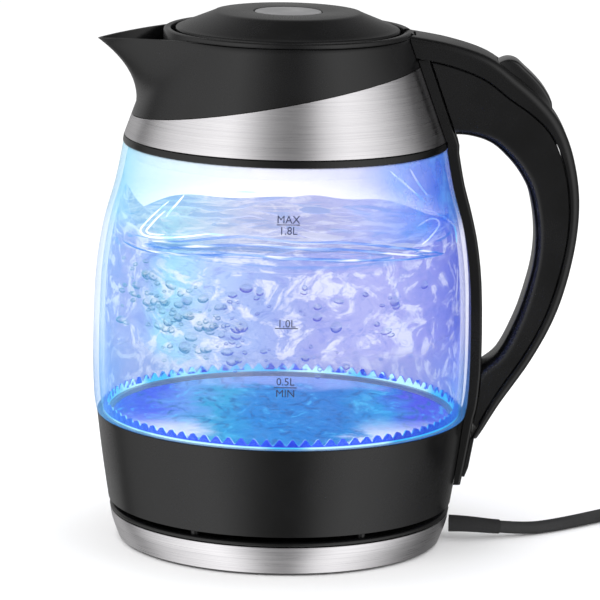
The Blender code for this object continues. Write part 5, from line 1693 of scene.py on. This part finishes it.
class KETTLE_OT_handle(PieceOperator, bpy.types.Operator):
    """Builds the handle: spine on the glass, inner shell and outer cover"""

    bl_idname = "kettle.handle"
    bl_label = "Handle"

    def build(self):
        rows = rib_rows(6)
        shell = draped([shell_section(row) for row in rows[:-6]])
        cut_by(shell, spine_clearance(22 * MM))
        cut_by(shell, body_cutter(GAP))
        cut_by(shell, button_room(-17.6, 9.6, 2, 10, 4.6))
        settled(shell, "handle_grip", ["handle_inner_shell"], angle=30)
        cover = draped([cover_section(row) for row in rows])
        cut_by(cover, spine_clearance(GAP))
        cut_by(cover, body_cutter(GAP))
        cut_by(cover, button_room(-15.4, 15.4, -20, 12, 8.4))
        for cutter in hinge_cutters():
            cut_by(cover, cutter)
        settled(cover, "handle_back", ["handle_outer_cover"], angle=30)
        self.build_spine()

    def build_spine(self):
        spine = draped([spine_loop(z, 0, SPINE_HALF, 3 * MM, 1.2 * MM) for z in spine_levels()])
        cut_by(spine, body_cutter(GAP))
        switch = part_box("power_switch")
        outer = body_radius(switch[1].z) + spine_proud(switch[1].z)
        low_z, high_z = switch[1].z - 5.6 * MM, switch[1].z + 0.4 * MM
        pocket = block((8 * MM, 16.8 * MM, high_z - low_z), (outer + 1.4 * MM, 0, (low_z + high_z) / 2))
        cut_by(spine, pocket)
        settled(spine, "handle_strip", ["handle_spine"], angle=30)


class KETTLE_OT_button(PieceOperator, bpy.types.Operator):
    """Builds the lid button on the handle's back and the power lever at its foot"""

    bl_idname = "kettle.button"
    bl_label = "Button and lever"

    def build(self):
        half, proud = 15 * MM, 5 * MM
        top = [
            (-1.0, 0.3), (-1.0, 0.14), (-0.86, -0.60), (-0.62, -0.99), (-0.30, -0.97), (0.0, -0.93),
            (0.35, -0.80), (0.62, -0.58), (0.86, -0.30), (1.0, 0.08),
        ]
        crest = smooth_rows([(s * half, d * proud) for s, d in top], 4)
        outline = crest + [(half, 4 * MM), (-half, 4 * MM)]
        middle, along, inward = button_axes()
        loops = []
        wide = 8 * MM
        edge = ((0.78, 0), (0.9, 0.25), (0.97, 0.8), (1, 1.6))  # share of the half width, drop there
        for share, drop in [(-share, drop) for share, drop in edge[::-1]] + list(edge):
            across = Vector((0, share * wide, 0))
            loop = []
            for s, d in outline:
                lowered = d + (drop * MM * 0.7 if d < 2 * MM else 0)
                loop.append(middle + along * s * (1 - drop * 0.012) + inward * lowered + across)
            loops.append(loop)
        button = draped(loops)
        settled(button, "thumb_button", ["release_button"], finish="gloss", body="release_button", angle=40)
        self.build_lever()

    def build_lever(self):
        source = frame["nodes"]["power_switch"]
        lever = source.copy()
        lever.data = source.data.copy()
        bpy.context.scene.collection.objects.link(lever)
        lever.parent = None
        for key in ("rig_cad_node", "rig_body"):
            if key in lever:
                del lever[key]
        alone(lever)
        all_edited()
        bpy.ops.mesh.remove_doubles(threshold=0.002 * MM)
        bpy.ops.mesh.dissolve_limited(angle_limit=math.radians(1))
        bpy.ops.object.mode_set(mode="OBJECT")
        softened(lever, 0.35 * MM, 2, 50)
        settled(lever, "power_lever", ["power_switch"], finish="gloss", body="power_switch", angle=40)


NODE_FINISHES = {
    "black": "base_bottom_cover base_hub turn_ring kettle_underside kettle_connector lid_plug",
    "rubber": "base_foot_back_left base_foot_back_right base_foot_front_left base_foot_front_right",
    "silicone": "lower_seal lid_seal spout_filter steam_tube",
    "clear": "upper_seal",
    "brass": "base_pin_contact base_ring_contact plug_blade_left plug_blade_right",
    "inner": "base_screw_1 base_screw_2 base_screw_3 heat_spreader heating_element hinge_pin switch_pin",
    "plate": "heating_plate",
    "board": "led_board",
    "cream": "thermostat_control",
    "silver": "release_rod",
}


class KETTLE_OT_inside(PieceOperator, bpy.types.Operator):
    """Gives the pieces that keep their shape a finish"""

    bl_idname = "kettle.inside"
    bl_label = "Inner pieces"

    def build(self):
        for finish, names in NODE_FINISHES.items():
            for name in names.split():
                data = frame["nodes"][name].data
                data.materials.clear()
                data.materials.append(finish_of(finish))


OPERATORS = (
    KETTLE_OT_stage, KETTLE_OT_cord, KETTLE_OT_base, KETTLE_OT_housing, KETTLE_OT_glass,
    KETTLE_OT_water, KETTLE_OT_marks, KETTLE_OT_band, KETTLE_OT_head, KETTLE_OT_lid, KETTLE_OT_handle,
    KETTLE_OT_button, KETTLE_OT_inside,
)


class KETTLE_PT_pieces(bpy.types.Panel):
    """Lists the builders of the kettle's pieces"""

    bl_idname = "KETTLE_PT_pieces"
    bl_label = "Glass Kettle"
    bl_space_type = "VIEW_3D"
    bl_region_type = "UI"
    bl_category = "Kettle"

    def draw(self, context):
        for group in (context.scene.kettle_sizes, context.scene.kettle_colours):
            box = self.layout.box()
            for key in group.__annotations__:
                box.prop(group, key)
        for operator in OPERATORS:
            self.layout.operator(operator.bl_idname)


CLASSES = (KettleSizes, KettleColours, *OPERATORS, KETTLE_PT_pieces)


def register():
    for kind in CLASSES:
        bpy.utils.register_class(kind)
    bpy.types.Scene.kettle_sizes = bpy.props.PointerProperty(type=KettleSizes)
    bpy.types.Scene.kettle_colours = bpy.props.PointerProperty(type=KettleColours)


def unregister():
    del bpy.types.Scene.kettle_colours
    del bpy.types.Scene.kettle_sizes
    for kind in reversed(CLASSES):
        bpy.utils.unregister_class(kind)


def main():
    register()
    for operator in OPERATORS:
        group, name = operator.bl_idname.split(".")
        getattr(getattr(bpy.ops, group), name)()


if __name__ == "__main__":
    main()
